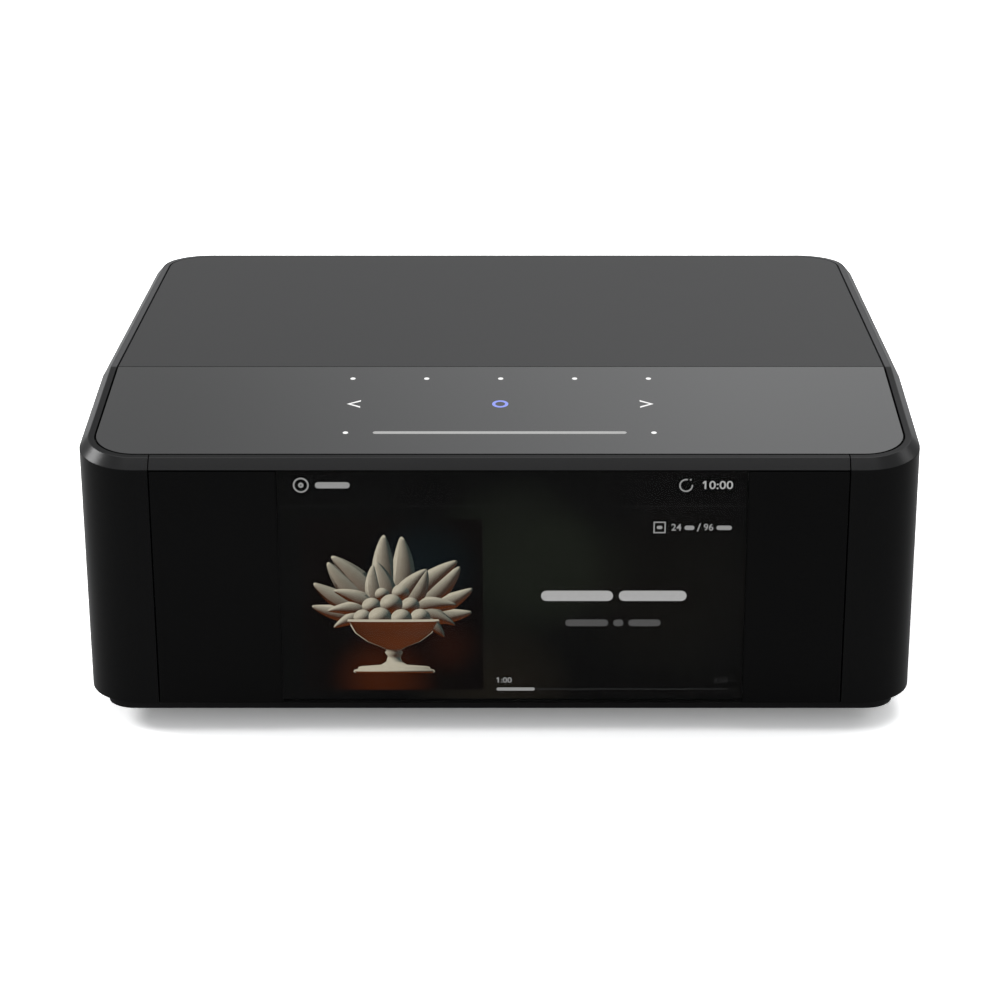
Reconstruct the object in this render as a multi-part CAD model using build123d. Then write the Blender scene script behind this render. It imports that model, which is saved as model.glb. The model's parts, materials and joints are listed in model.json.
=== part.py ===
from build123d import *
import os
from math import cos, radians, sin, tan

os.makedirs("parts", exist_ok=True)

# Network music streamer: a low metal casing with a glass front, a touch panel that slopes
# down towards the front, a flat rear deck and a recessed plinth on rubber feet.
# Millimetres. X is to the right seen from the front, Y is backwards, Z is up.
# The origin is on the table, under the middle of the whole object, jacks included.

# Casing
case_width = 220.0
case_depth = 184.0
case_height = 84.7
corner_radius = 15.9
wall = 2.5
foot_height = 5.2
plinth_height = 3.4
jack_reach = 9.0

# Top rim: a bevel, a flat land and the gap round the panels
bevel_in = 2.37
bevel_down = 2.73
land_width = 1.65
panel_gap = 0.5
panel_thickness = 2.0
ledge_width = 3.0
ledge_thickness = 2.0
tilt_angle = 8.45
touch_depth = 56.8

# Clearances shared by the pieces that meet
fit_gap = 0.15
seat_gap = 0.05
overrun = 5.0

# Front glass and the frame that carries it
bay_side = 19.65
bay_width = case_width - 2 * bay_side
seam_gap = 0.25
glass_thickness = 2.0
frame_thickness = 2.0
frame_lap = 3.9
tape_margin = 1.0

# Display behind the glass
display_offset = 3.3
display_side = 26.55
display_width = bay_width - 2 * display_side
display_border = 2.9
display_foot = 0.3
display_headroom = 0.3
display_pane = 1.6
backlight_thickness = 2.4
backlight_inset = 1.2
bracket_sheet = 1.0
bracket_drop = 3.5
bracket_margin = 7.25
bracket_flange = (bay_width - display_width) / 2 - display_offset - bracket_margin
bracket_window = 34.0

# Corner posts of the shell
post_radius = 4.5
post_inset = 6.5
post_bore = 1.5
post_bore_depth = 12.0

# Bottom cover
plinth_inset = 4.5
plinth_corner = 8.0
flange_thickness = 1.6
cover_floor = 1.8
cover_rim = 5.5
cover_rib = 2.0
lip_thickness = 1.0
vent_width = 2.2
vent_length = 30.0
vent_pitch = 5.6
vent_count = 9
vent_field_x = 52.0
vent_field_y = -4.0

# Rubber feet
foot_radius = 11.0
foot_recess = 0.8
foot_edge = 1.2
foot_side = 32.0
foot_place_front = 30.5
foot_place_back = 30.5

# Sheet metal tray, standoffs and boards
tray_sheet = 1.0
tray_margin = 14.0
tray_front = 13.0
tray_back = 5.5
tray_lip = 6.0
standoff_height = 5.0
standoff_radius = 2.9
board_thickness = 1.6
board_side_inset = 6.5
board_inset = 5.0
board_back_inset = 18.85
board_gap = 0.6
row_gap = 1.5

# Screws
screw_sides = 8
case_head_sides = 16
inner_head_sides = 6
screw_radius = 1.25
screw_head_radius = 2.4
screw_head_height = 1.6
board_screw_length = 4.8
panel_screw_length = 5.5
base_screw_radius = 1.45
base_screw_head = 2.5
base_screw_length = 9.0
base_counterbore = 1.9

# Rear panel
rear_plate = 1.5
rear_side = 17.0
rear_base = 2.9
rear_head = 13.2
rear_width = case_width - 2 * rear_side
rear_height = case_height - foot_height - plinth_height - rear_base - rear_head
rear_corner = 3.0
rear_lip = 6.0
rear_screw_inset = 3.0
rear_boss_radius = 2.9
rear_boss_length = 4.5
socket_proud = 0.4
socket_web = 0.4
socket_gap_shares = (0.025, 0.015, 0.005, 0.005, 0.01, 0.075, 0.07, 0.05, 0.565, 0.18)

# Folded beam under the joint of the two top panels
panel_joint = 0.3
beam_front = 3.0
beam_back = 9.0
beam_sheet = 1.5

# Rear deck
deck_rib = 1.2
deck_rib_drop = 3.0
deck_rib_count = 3
hook_width = 6.0
hook_arm = 1.2
hook_barb = 0.9
hook_place_x = 60.0

# Touch sensor, light wells and board under the touch panel
sensor_thickness = 0.2
sensor_inset = 4.0
light_frame_margin = 8.3
light_frame_near = 4.4
light_frame_front = 9.3
light_frame_depth = 3.0
touch_board_side = 25.0
touch_board_thickness = 1.0
dot_row = 7.8
dot_pitch = 20.2
dot_well = 1.3
arrow_row = 23.6
arrow_place = 39.2
arrow_well_width = 5.0
arrow_well_length = 6.4
ring_well = 3.2
slider_front = 16.05
slider_length = 66.5
slider_well = 2.2

# Flat ribbons and their sockets on the main board
ribbon_thickness = 0.3
ribbon_width = 24.0
ribbon_bend = 3.0
ribbon_socket_depth = 5.0
ribbon_socket_height = 3.0
display_ribbon_x = 8.0
ribbon_clear = 4.0
touch_ribbon_width = 12.0
touch_ribbon_x = -20.0

# Main board
main_side_margin = 1.0
main_length = 114.85

# Processor, memory and finned heat sink
processor_size = 15.0
processor_height = 1.5
processor_side = 38.424
processor_back = 60.85
memory_width = 9.0
memory_length = 11.0
memory_side = 8.424
memory_back = 53.85
sink_width = 42.0
sink_length = 36.0
sink_base = 2.5
sink_height = 12.0
fin_thickness = 1.2
fin_count = 11

# Radio module, flat antennas under the deck and their thin leads
radio_width = 16.0
radio_length = 13.0
radio_height = 2.4
radio_side = 10.424
radio_back = 102.85
antenna_length = 38.0
antenna_width = 9.0
antenna_thickness = 0.4
antenna_back = 20.85
lead_radius = 0.6
lead_spacing = 5.0
lead_drop = 14.0
lead_bend = 6.0

# Audio output board
audio_length = 80.85
shield_width = 30.0
shield_length = 34.0
shield_height = 8.0
shield_sheet = 0.5
shield_hole = 1.5
relay_width = 7.5
relay_length = 15.0
relay_height = 10.0
film_width = 3.5
film_length = 8.0
film_height = 8.5
film_pitch = 5.5
relay_gap = 2.5

# Power board
power_gap = 1.5
power_front_inset = 24.5
sheet_thickness = 0.4
sheet_margin = 2.0
core_width = 33.0
core_length = 30.0
core_height = 26.0
core_limb = 6.5
winding_gap = 0.4
winding_cheek = 1.5
bulk_radius = 9.0
bulk_height = 30.0
can_edge = 0.7
output_radius = 4.0
output_height = 14.0
output_pitch = 9.5
output_side = 4.6
choke_radius = 8.1
choke_bore = 2.9
choke_width = 5.2
choke_side = 5.0
fuse_radius = 2.6
fuse_length = 20.0
fuse_cap = 5.0
fuse_gap = 10.188
power_sink_length = 34.0
power_sink_height = 24.0
power_sink_sheet = 2.0
power_sink_fin = 8.0
power_sink_fins = 5
power_sink_side = 6.5
transistor_width = 10.0
transistor_height = 15.0
transistor_depth = 4.5
harness_wire = 1.6
harness_pitch = 2.5
harness_wires = 4
harness_plug_width = 7.0
harness_plug_height = 8.0
harness_reach = 10.0
harness_loop = 14.0
harness_bend = 4.0

# Mains inlet, two pins
inlet_width = 21.0
inlet_height = 13.5
inlet_depth = 17.0
inlet_mouth_width = 15.0
inlet_mouth_height = 8.4
inlet_mouth_depth = 12.0
inlet_pin_radius = 1.2
inlet_pin_pitch = 8.6
inlet_pin_length = 9.5
inlet_corner = 2.0

# Network socket, eight contacts
network_width = 15.9
network_depth = 18.0
network_mouth_width = 11.8
network_mouth_height = 6.8
network_mouth_depth = 12.5
network_roof = 2.2
network_key_width = 6.4
network_key_height = 1.6
network_catch_width = 4.0
network_catch_height = 1.4
network_mouth_base = 4.4
network_height = network_mouth_base + network_mouth_height + network_roof
contact_pitch = 1.02
contact_thickness = 0.4
contact_drop = 1.1
contact_count = 8

# Data socket, flat four contact type
data_mouth_width = 12.5
data_mouth_height = 5.12
data_sheet = 0.4
data_depth = 14.0
data_mouth_depth = 12.0
data_tongue_width = 11.1
data_tongue_thickness = 1.84
data_tongue_drop = 0.65
tongue_setback = 1.2

# Television audio socket, flat with bevelled lower corners
tv_mouth_width = 14.0
tv_mouth_height = 4.55
tv_mouth_bevel = 1.6
tv_sheet = 0.5
tv_depth = 12.0
tv_mouth_depth = 10.0
tv_tongue_width = 11.0
tv_tongue_thickness = 1.3

# Optical socket with a flap that swings inwards
optical_mouth = 8.6
optical_cheek = 2.0
optical_base = 1.6
optical_brow = 3.0
optical_back = 3.6
optical_width = optical_mouth + 2 * optical_cheek
optical_height = optical_base + optical_mouth + optical_brow
optical_bezel = 0.9
optical_side_gap = 0.2
flap_thickness = 0.8
flap_gap = 0.1
flap_pin_radius = 0.5
flap_pin_clearance = 0.05
flap_pin_length = 0.7
flap_barrel = 0.7
flap_headroom = 0.4
lens_radius = 1.4
lens_depth = 2.0

# Phono jacks, two by two on one block
phono_pitch = 14.0
phono_rise = 16.0
phono_radius = 4.15
phono_bore = 3.2
phono_collar = 4.45
phono_collar_proud = 0.3
phono_flange_radius = 5.2
phono_flange = 1.0
phono_contact = 1.6
phono_contact_depth = 9.5
phono_block_depth = 10.0
phono_block_edge = 5.9
phono_low = 8.2

# Small round jacks
small_jack_width = 7.0
small_jack_height = 6.0
small_jack_collar = 2.9
small_jack_bore = 1.78
small_jack_bore_depth = 13.0
small_jack_wall = 1.0

# Service button and its switch
button_radius = 2.2
button_length = 5.0
button_proud = 0.9
button_edge = 0.4
button_height = 3.6
button_travel = 0.5
switch_width = 6.2
switch_depth = 3.6
switch_height = 7.0
plunger_radius = 1.4
plunger_length = 2.0
plunger_socket = 1.4

# Levels and lines worked out from the sizes above
front_y = -(case_depth + jack_reach) / 2
back_y = front_y + case_depth
centre_y = (front_y + back_y) / 2
fold_y = front_y + touch_depth
tilt = radians(tilt_angle)
rim_width = bevel_in + land_width
throat_inset = rim_width + ledge_width
shell_base = foot_height + plinth_height
flange_top = shell_base + flange_thickness
tray_top = flange_top + tray_sheet
board_base = tray_top + standoff_height
board_top = board_base + board_thickness
board_back = back_y - wall - fit_gap
bevel_edge_z = case_height - (touch_depth - bevel_in) * tan(tilt) - bevel_down
glass_top = bevel_edge_z - fit_gap
frame_front = front_y + wall + seat_gap
frame_back = frame_front + frame_thickness
display_left = display_offset - display_width / 2
display_right = display_offset + display_width / 2
display_base = shell_base + display_foot
display_top = glass_top - display_headroom
backlight_back = frame_front + display_pane + backlight_thickness
post_x = case_width / 2 - post_inset - wall
post_front = front_y + wall + post_inset
post_back = back_y - wall - post_inset
sensor_low = panel_thickness + sensor_thickness
light_low = sensor_low + light_frame_depth
light_frame_far = touch_depth - light_frame_front
light_frame_width = 2 * (2 * dot_pitch + dot_well + light_frame_margin)
slider_row = touch_depth - slider_front
sockets_face = back_y + socket_proud
phono_z = board_top + phono_low
board_side = rear_width / 2 - board_side_inset
main_front = board_back - main_length
audio_front = board_back - audio_length
power_front = front_y + power_front_inset
processor_y = board_back - processor_back
memory_y = board_back - memory_back
radio_y = board_back - radio_back
antenna_y = board_back - antenna_back
touch_plane = Plane(origin=(0, fold_y, case_height), x_dir=(1, 0, 0), z_dir=(0, -sin(tilt), cos(tilt)))


def socket_row():
    """Middles of the rear sockets along X, seen from the front, with the free width shared out."""
    widths = (
        phono_pitch + 2 * phono_block_edge, optical_width, tv_mouth_width + 2 * tv_sheet, network_width,
        data_mouth_width + 2 * data_sheet, 2 * button_radius, small_jack_width, small_jack_width,
        inlet_width,
    )
    webs = 2 * socket_web * len(widths)
    free = rear_width - 2 * rear_lip - sum(widths) - webs
    middles = []
    x = rear_lip - rear_width / 2
    for width, gap_share in zip(widths, socket_gap_shares):
        x += gap_share * free + socket_web
        middles.append(x + width / 2)
        x += width + socket_web
    return middles


phono_x, optical_x, tv_x, network_x, data_x, button_x, near_jack_x, far_jack_x, inlet_x = socket_row()
board_split = (optical_x + optical_width / 2 + tv_x - tv_mouth_width / 2 - tv_sheet) / 2
main_left = board_split + board_gap / 2
main_right = far_jack_x + small_jack_width / 2 + main_side_margin
processor_x = main_right - processor_side
memory_x = main_right - memory_side
radio_x = main_right - radio_side
audio_left = -board_side
audio_right = board_split - board_gap / 2
audio_x = (audio_left + audio_right) / 2
power_left = main_right + power_gap
power_right = board_side
power_x = (power_left + power_right) / 2
fuse_x = power_left + harness_reach + harness_plug_width / 2 + fuse_gap + fuse_radius


def rows_from(back, depths):
    """Middles of rows that stand one before the other, the first against back."""
    middles = []
    for depth in depths:
        back -= row_gap + depth
        middles.append(back + depth / 2)
    return middles


screw_row = board_back - board_back_inset - screw_head_radius
power_depths = (core_length, fuse_length, power_sink_length, 2 * bulk_radius)
transformer_y, harness_y, power_sink_y, bulk_y = rows_from(screw_row, power_depths)
phono_block_front = back_y - rear_plate - phono_flange - phono_block_depth
film_y, relay_y, shield_y = rows_from(phono_block_front, (film_length, relay_length, shield_length))


def block(width, depth, height, x, y, z):
    """A box centred on x that starts at y and stands on z."""
    low = (Align.CENTER, Align.MIN, Align.MIN)
    return Pos(x, y, z) * Box(width, depth, height, align=low)


def between(x_low, x_high, y_low, y_high, z_low, z_high):
    """A box given by its faces."""
    width = x_high - x_low
    return block(width, y_high - y_low, z_high - z_low, (x_low + x_high) / 2, y_low, z_low)


def upright(radius, height, x, y, z):
    """A round bar that stands on z."""
    return Pos(x, y, z) * Cylinder(radius, height, align=(Align.CENTER, Align.CENTER, Align.MIN))


def rod(radius, length, x, y, z):
    """A round bar that runs backwards from y."""
    bar = Cylinder(radius, length, align=(Align.CENTER, Align.CENTER, Align.MIN))
    return Pos(x, y, z) * Rot(-90, 0, 0) * bar


def screw(head_sides, head_radius, head_height, radius, length):
    """A screw whose head stands on its seat and whose shank runs down from it."""
    head = extrude(RegularPolygon(head_radius, head_sides), head_height)
    shank = extrude(RegularPolygon(radius, screw_sides), -length)
    return head + shank


def group(pieces):
    """Several separate solids that share one node."""
    return Compound(children=list(pieces))


def outline(inset):
    """The casing's plan, drawn in by inset."""
    plan = RectangleRounded(case_width - 2 * inset, case_depth - 2 * inset, corner_radius - inset)
    return Pos(0, centre_y) * plan


def column(inset, low, high):
    """A prism on the casing's plan."""
    return Pos(0, 0, low) * extrude(outline(inset), high - low)


def below_top(depth):
    """All that lies under the top surface once it is lowered by depth, square to each plane."""
    fold = fold_y + depth * tan(tilt / 2)
    level = case_height - depth
    front = front_y - overrun
    back = back_y + overrun
    low_front = level - (fold - front) * tan(tilt)
    profile = Polyline(
        (front, -overrun), (back, -overrun), (back, level), (fold, level), (front, low_front), close=True,
    )
    return extrude(Plane.YZ * make_face(profile), case_width / 2 + overrun, both=True)


def flare(plane, half_width, front, back, radius, depth, spread_x, spread_y):
    """A block whose sides lean outwards from a rounded top."""
    middle = Pos(0, (front + back) / 2)
    top = plane * middle * RectangleRounded(2 * half_width, back - front, radius)
    foot_plan = RectangleRounded(2 * (half_width + spread_x), back - front + 2 * spread_y, radius + spread_x)
    foot = plane.offset(-depth) * middle * foot_plan
    return loft([top, foot], ruled=True)


def rim_body():
    """The casing as a solid: its plan, cut by the level bevel and by the sloping one."""
    half = case_width / 2 - bevel_in
    radius = corner_radius - bevel_in
    depth = 2 * case_height
    level_spread = depth * bevel_in / bevel_down
    level = flare(
        Plane.XY.offset(case_height), half, front_y - case_depth, back_y - bevel_in, radius,
        depth, level_spread, level_spread,
    )
    slope_in = bevel_in * cos(tilt) + bevel_down * sin(tilt)
    slope_down = bevel_down * cos(tilt) - bevel_in * sin(tilt)
    sloping = flare(
        touch_plane, half, -(touch_depth - bevel_in) / cos(tilt), case_depth, radius,
        depth, depth * bevel_in / (bevel_down * cos(tilt)), depth * slope_in / slope_down,
    )
    return column(0, shell_base, case_height) & level & sloping


def post_places():
    return [(side * post_x, y) for side in (-1, 1) for y in (post_front, post_back)]


def rear_screw_places():
    """Corners of the rear panel, and the middle of its top edge."""
    x = rear_width / 2 - rear_screw_inset
    low = shell_base + rear_base + rear_screw_inset
    high = low + rear_height - 2 * rear_screw_inset
    return [(-x, low), (x, low), (-x, high), (0, high), (x, high)]


def rear_sheet(inset, corner, front, back):
    """A rounded plate on the rear panel's outline, between two places along Y."""
    middle_z = shell_base + rear_base + rear_height / 2
    plan = RectangleRounded(rear_width - 2 * inset, rear_height - 2 * inset, corner)
    plane = Plane(origin=(0, front, middle_z), x_dir=(-1, 0, 0), z_dir=(0, 1, 0))
    return extrude(plane * plan, back - front)


def wrap_shell():
    """One moulding round the sides and back, with the bevelled rim and the ledge for the panels."""
    ledge_base = panel_thickness + ledge_thickness
    shell = rim_body()
    shell -= column(wall, shell_base - overrun, case_height) & below_top(ledge_base)
    shell -= column(rim_width, shell_base, case_height + overrun) - below_top(panel_thickness)
    shell -= column(throat_inset, shell_base - overrun, case_height + overrun)
    for x, y in post_places():
        post = upright(post_radius, case_height, x, y, flange_top)
        shell += post & below_top(ledge_base + seat_gap) & column(wall / 2, 0, case_height)
        shell -= upright(post_bore, post_bore_depth, x, y, flange_top)
    half_bay = bay_width / 2
    shell -= between(-half_bay, half_bay, front_y - overrun, front_y + throat_inset, 0, case_height + overrun)
    for x, z in rear_screw_places():
        shell += rod(rear_boss_radius, rear_boss_length, x, back_y - wall - rear_boss_length, z)
    shell -= rear_sheet(-fit_gap, rear_corner + fit_gap, back_y - rear_plate, back_y + overrun)
    shell -= rear_sheet(rear_lip, rear_corner, back_y - wall - overrun, back_y + overrun)
    for x, z in rear_screw_places():
        shell -= rod(screw_radius + seat_gap, panel_screw_length, x, back_y - panel_screw_length, z)
    for x, z in frame_screw_places():
        shell -= rod(screw_radius + seat_gap, wall, x, frame_front - wall + frame_lap / 4, z)
    return shell


def frame_screw_places():
    """Two screws at each end of the front frame, behind the shell's front corners."""
    x = bay_width / 2 + frame_lap / 2
    low = flange_top + rear_lip
    high = bevel_edge_z - rear_lip
    return [(side * x, z) for side in (-1, 1) for z in (low, high)]


def bracket_screw_places():
    x_left = display_left - bracket_flange / 2
    x_right = display_right + bracket_flange / 2
    low = display_base + bracket_drop + bracket_flange / 2
    high = display_top - bracket_drop - bracket_flange / 2
    return [(x, z) for x in (x_left, x_right) for z in (low, high)]


def front_frame():
    """Frame behind the glass: a bar with its own length of bevel and ledge, on two cheek plates."""
    half_bay = bay_width / 2 - seam_gap
    half_plate = bay_width / 2 + frame_lap
    bay = between(-half_bay, half_bay, front_y, front_y + throat_inset, bevel_edge_z, case_height)
    bar = rim_body() & bay
    bar -= column(rim_width, shell_base, case_height + overrun) - below_top(panel_thickness)
    low = shell_base + display_foot
    neck = bevel_edge_z + seat_gap
    bar_back = front_y + throat_inset
    bar += between(-half_bay, half_bay, frame_front, bar_back, glass_top, neck)
    sheet = between(-half_plate, half_plate, frame_front, frame_back, low, glass_top)
    sheet &= below_top(panel_thickness + ledge_thickness + seat_gap)
    sheet += between(-half_bay, half_bay, frame_front, frame_back, low, glass_top)
    window_left = display_left - fit_gap
    window_right = display_right + fit_gap
    sheet -= between(window_left, window_right, frame_front, frame_back, shell_base, glass_top)
    frame = bar + sheet
    for x, z in frame_screw_places() + bracket_screw_places():
        frame -= rod(screw_radius + seat_gap, frame_thickness + wall, x, frame_front - wall / 2, z)
    return frame


def front_glass():
    """Smoked glass across the whole front bay, its edges eased."""
    half = bay_width / 2 - seam_gap
    pane = between(-half, half, front_y, front_y + glass_thickness, shell_base, glass_top - fit_gap)
    return chamfer(pane.edges().group_by(Axis.Y)[0], seam_gap)


def glass_tape():
    """Black bonding tape that holds the glass on the frame's two cheeks."""
    half = bay_width / 2 - tape_margin
    low = shell_base + display_foot
    high = glass_top - display_headroom
    back = front_y + glass_thickness
    left = between(-half, display_left + display_border, back, frame_front, low, high)
    right = between(display_right - display_border, half, back, frame_front, low, high)
    return group([left, right])


def display_panel():
    """The display's glass pane."""
    back = frame_front + display_pane
    return between(display_left, display_right, frame_front, back, display_base, display_top)


def display_backlight():
    """Pressed metal can behind the pane, with a shallow step round its back."""
    left = display_left + backlight_inset
    right = display_right - backlight_inset
    low = display_base + backlight_inset
    high = display_top - backlight_inset
    can = between(left, right, frame_front + display_pane, backlight_back, low, high)
    return chamfer(can.edges().group_by(Axis.Y)[-1], backlight_inset / 2)


def display_bracket():
    """Hat section sheet that presses the display forward and screws to the frame's cheeks."""
    near = frame_back
    far = backlight_back
    left = display_left - bracket_flange
    right = display_right + bracket_flange
    inner_left = display_left + bracket_sheet
    inner_right = display_right - bracket_sheet
    skin = bracket_sheet
    outer_left = inner_left - 2 * skin
    outer_right = inner_right + 2 * skin
    profile = Polyline(
        (left, near), (inner_left - skin, near), (inner_left - skin, far), (inner_right + skin, far),
        (inner_right + skin, near), (right, near), (right, near + skin), (outer_right, near + skin),
        (outer_right, far + skin), (outer_left, far + skin), (outer_left, near + skin), (left, near + skin),
        close=True,
    )
    low = display_base + bracket_drop
    high = display_top - bracket_drop - ledge_thickness
    hat = Pos(0, 0, low) * extrude(make_face(profile), high - low)
    middle = (low + high) / 2
    for side in (-1, 1):
        x = display_offset + side * (bracket_window / 2 + bracket_flange / 2)
        base = middle - bracket_window / 2
        hat -= block(bracket_window, 2 * overrun, bracket_window, x, far - overrun, base)
    for x, z in bracket_screw_places():
        hat -= rod(screw_radius + fit_gap, overrun, x, near - skin, z)
    return hat


def touch_panel():
    """Glossy sloping panel, flush with the rim."""
    panel = column(rim_width + panel_gap, shell_base, case_height) & below_top(0)
    panel -= below_top(panel_thickness)
    cut = between(-case_width, case_width, fold_y - panel_joint / 2, back_y, 0, case_height + overrun)
    return panel - cut


def deck_rib_places():
    span = case_width - 2 * throat_inset
    return [span * (step / (deck_rib_count + 1) - 1 / 2) for step in range(1, deck_rib_count + 1)]


def top_deck():
    """Flat rear deck with a locating skirt, stiffening ribs and snap hooks under it."""
    base = case_height - panel_thickness
    start = fold_y + panel_joint / 2
    deck = column(rim_width + panel_gap, base, case_height)
    deck -= between(-case_width, case_width, front_y - overrun, start, 0, case_height + overrun)
    rib_front = fold_y + beam_back + fit_gap
    skirt = column(throat_inset + fit_gap, base - ledge_thickness, base)
    skirt -= column(throat_inset + fit_gap + deck_rib, 0, case_height)
    skirt -= between(-case_width, case_width, front_y - overrun, rib_front, 0, case_height)
    deck += skirt
    rib_back = back_y - throat_inset - fit_gap
    for x in deck_rib_places():
        deck += between(x - deck_rib / 2, x + deck_rib / 2, rib_front, rib_back, base - deck_rib_drop, base)
    arm_drop = ledge_thickness + hook_barb + fit_gap
    back_face = back_y - throat_inset - fit_gap
    for x in (-hook_place_x, hook_place_x):
        deck += block(hook_width, hook_arm, arm_drop, x, back_face - hook_arm, base - arm_drop)
        barb_base = base - arm_drop
        deck += block(hook_width, hook_arm + hook_barb, hook_barb, x, back_face - hook_arm, barb_base)
    side_face = case_width / 2 - throat_inset - fit_gap
    middle_y = (rib_front + rib_back) / 2
    for side in (-1, 1):
        x = side * (side_face - hook_arm / 2)
        deck += block(hook_arm, hook_width, arm_drop, x, middle_y, base - arm_drop)
        x = side * (side_face + hook_barb / 2 - hook_arm / 2)
        deck += block(hook_arm + hook_barb, hook_width, hook_barb, x, middle_y, base - arm_drop)
    return deck


def fold_beam():
    """Cross beam under the joint of the two panels, with its ends under the shell's ledges."""
    under = panel_thickness + ledge_thickness + seat_gap
    strip = between(-case_width, case_width, fold_y - beam_front, fold_y + beam_back, 0, case_height)
    flat = column(wall + fit_gap, shell_base, case_height) & strip
    flat = (flat & below_top(under)) - below_top(under + beam_sheet)
    raised = column(throat_inset + fit_gap, shell_base, case_height) & strip
    raised = (raised & below_top(panel_thickness)) - below_top(under + beam_sheet)
    half_throat = case_width / 2 - throat_inset - fit_gap - beam_sheet
    hollow_front = fold_y - beam_front + beam_sheet
    hollow_back = fold_y + beam_back - beam_sheet
    hollow = between(-half_throat, half_throat, hollow_front, hollow_back, shell_base, case_height)
    return flat + raised - (hollow & below_top(panel_thickness + beam_sheet))


def foot_places():
    front = front_y + foot_place_front
    back = back_y - foot_place_back
    return [(side * (case_width / 2 - foot_side), y) for side in (-1, 1) for y in (front, back)]


def vent_slots(low, high):
    """Two fields of ventilation slots."""
    slots = []
    plan = Rectangle(vent_width, vent_length)
    for side in (-1, 1):
        for step in range(vent_count):
            x = side * vent_field_x + (step - (vent_count - 1) / 2) * vent_pitch
            slots.append(Pos(x, vent_field_y, low) * extrude(plan, high - low))
    return slots


def bottom_cover():
    """Moulded base: the recessed plinth, a flange inside the shell, vents and foot seats."""
    plan = RectangleRounded(case_width - 2 * plinth_inset, case_depth - 2 * plinth_inset, plinth_corner)
    cover = Pos(0, centre_y, foot_height) * extrude(plan, plinth_height)
    cover += column(wall + fit_gap, shell_base, flange_top)
    bay = bay_width / 2 + frame_lap + fit_gap
    clear = backlight_back + bracket_sheet + fit_gap
    cover -= between(-bay, bay, front_y, clear, shell_base, flange_top + overrun)
    half_lip = bay_width / 2 - seam_gap
    lip_front = front_y + glass_thickness + fit_gap
    lip_back = front_y + plinth_inset + overrun
    cover += between(-half_lip, half_lip, lip_front, lip_back, shell_base - lip_thickness, shell_base)
    pocket_inset = plinth_inset + cover_rim
    pocket_base = foot_height + cover_floor
    pocket = column(pocket_inset, pocket_base, flange_top)
    for x in (-cover_rib / 2, -vent_field_x - vent_length, vent_field_x + vent_length):
        pocket -= between(x, x + cover_rib, front_y, back_y, pocket_base, flange_top)
    pocket -= between(-bay, bay, front_y, clear + cover_rib, pocket_base, flange_top)
    for x, y in post_places():
        pocket -= upright(post_radius + cover_rib, case_height, x, y, 0)
    cover -= pocket
    for slot in vent_slots(0, flange_top):
        cover -= slot
    for x, y in foot_places():
        cover -= upright(foot_radius + fit_gap, foot_recess, x, y, foot_height)
    for x, y in post_places():
        cover -= upright(base_screw_radius + fit_gap, flange_top, x, y, 0)
        cover -= upright(base_screw_head + fit_gap, base_counterbore, x, y, foot_height)
    return cover


def rubber_feet():
    feet = []
    for x, y in foot_places():
        foot = upright(foot_radius, foot_height + foot_recess, x, y, 0)
        feet.append(chamfer(foot.edges().group_by(Axis.Z)[0], foot_edge))
    return group(feet)


def base_screws():
    """Screws from below into the shell's four posts."""
    seat = foot_height + base_counterbore
    pattern = Rot(180, 0, 0) * screw(
        case_head_sides, base_screw_head, screw_head_height, base_screw_radius, base_screw_length,
    )
    return [Pos(x, y, seat) * pattern for x, y in post_places()]


def chassis_tray():
    """Folded sheet that carries the boards on the bottom cover."""
    half = case_width / 2 - tray_margin
    front = front_y + tray_front
    back = back_y - tray_back
    tray = between(-half, half, front, back, flange_top, tray_top)
    for side in (-1, 1):
        x = side * (half - tray_sheet / 2)
        tray += block(tray_sheet, back - front, tray_lip, x, front, flange_top)
    for slot in vent_slots(0, tray_top + overrun):
        tray -= slot
    return tray


def board_places(left, right, front):
    """Four fixing places of a board."""
    near = front + board_inset
    far = board_back - board_back_inset
    return [(x, y) for x in (left + board_inset, right - board_inset) for y in (near, far)]


def all_board_places():
    places = board_places(main_left, main_right, main_front)
    places += board_places(audio_left, audio_right, audio_front)
    places += board_places(power_left, power_right, power_front)
    return places


def board(left, right, front):
    """A circuit board with its fixing holes."""
    plate = between(left, right, front, board_back, board_base, board_top)
    for x, y in board_places(left, right, front):
        plate -= upright(screw_radius + fit_gap, case_height, x, y, 0)
    return plate


def board_standoffs():
    """Hexagonal spacers pressed on the tray."""
    pieces = []
    for x, y in all_board_places():
        plan = RegularPolygon(standoff_radius, 6)
        plan -= RegularPolygon(screw_radius + seat_gap, 6, major_radius=False)
        pieces.append(Pos(x, y, tray_top) * extrude(plan, standoff_height))
    return group(pieces)


def board_screws():
    pattern = screw(inner_head_sides, screw_head_radius, screw_head_height, screw_radius, board_screw_length)
    return [Pos(x, y, board_top) * pattern for x, y in all_board_places()]


def panel_screws():
    """Screws that hold the rear panel, seen from behind."""
    length = panel_screw_length - seat_gap
    pattern = screw(case_head_sides, screw_head_radius, screw_head_height, screw_radius, length)
    return [Pos(x, back_y, z) * Rot(-90, 0, 0) * pattern for x, z in rear_screw_places()]


def frame_screws():
    """Screws that hold the frame to the shell and the display bracket to the frame."""
    to_shell = frame_back - frame_front + wall - frame_lap / 4 - seat_gap
    pattern = screw(inner_head_sides, frame_lap / 2, screw_head_height, screw_radius, to_shell)
    screws = [Pos(x, frame_back, z) * Rot(-90, 0, 0) * pattern for x, z in frame_screw_places()]
    to_frame = bracket_sheet + frame_thickness - seat_gap
    seat = frame_back + bracket_sheet
    pattern = screw(inner_head_sides, screw_head_radius, screw_head_height, screw_radius, to_frame)
    return screws + [Pos(x, seat, z) * Rot(-90, 0, 0) * pattern for x, z in bracket_screw_places()]


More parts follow.
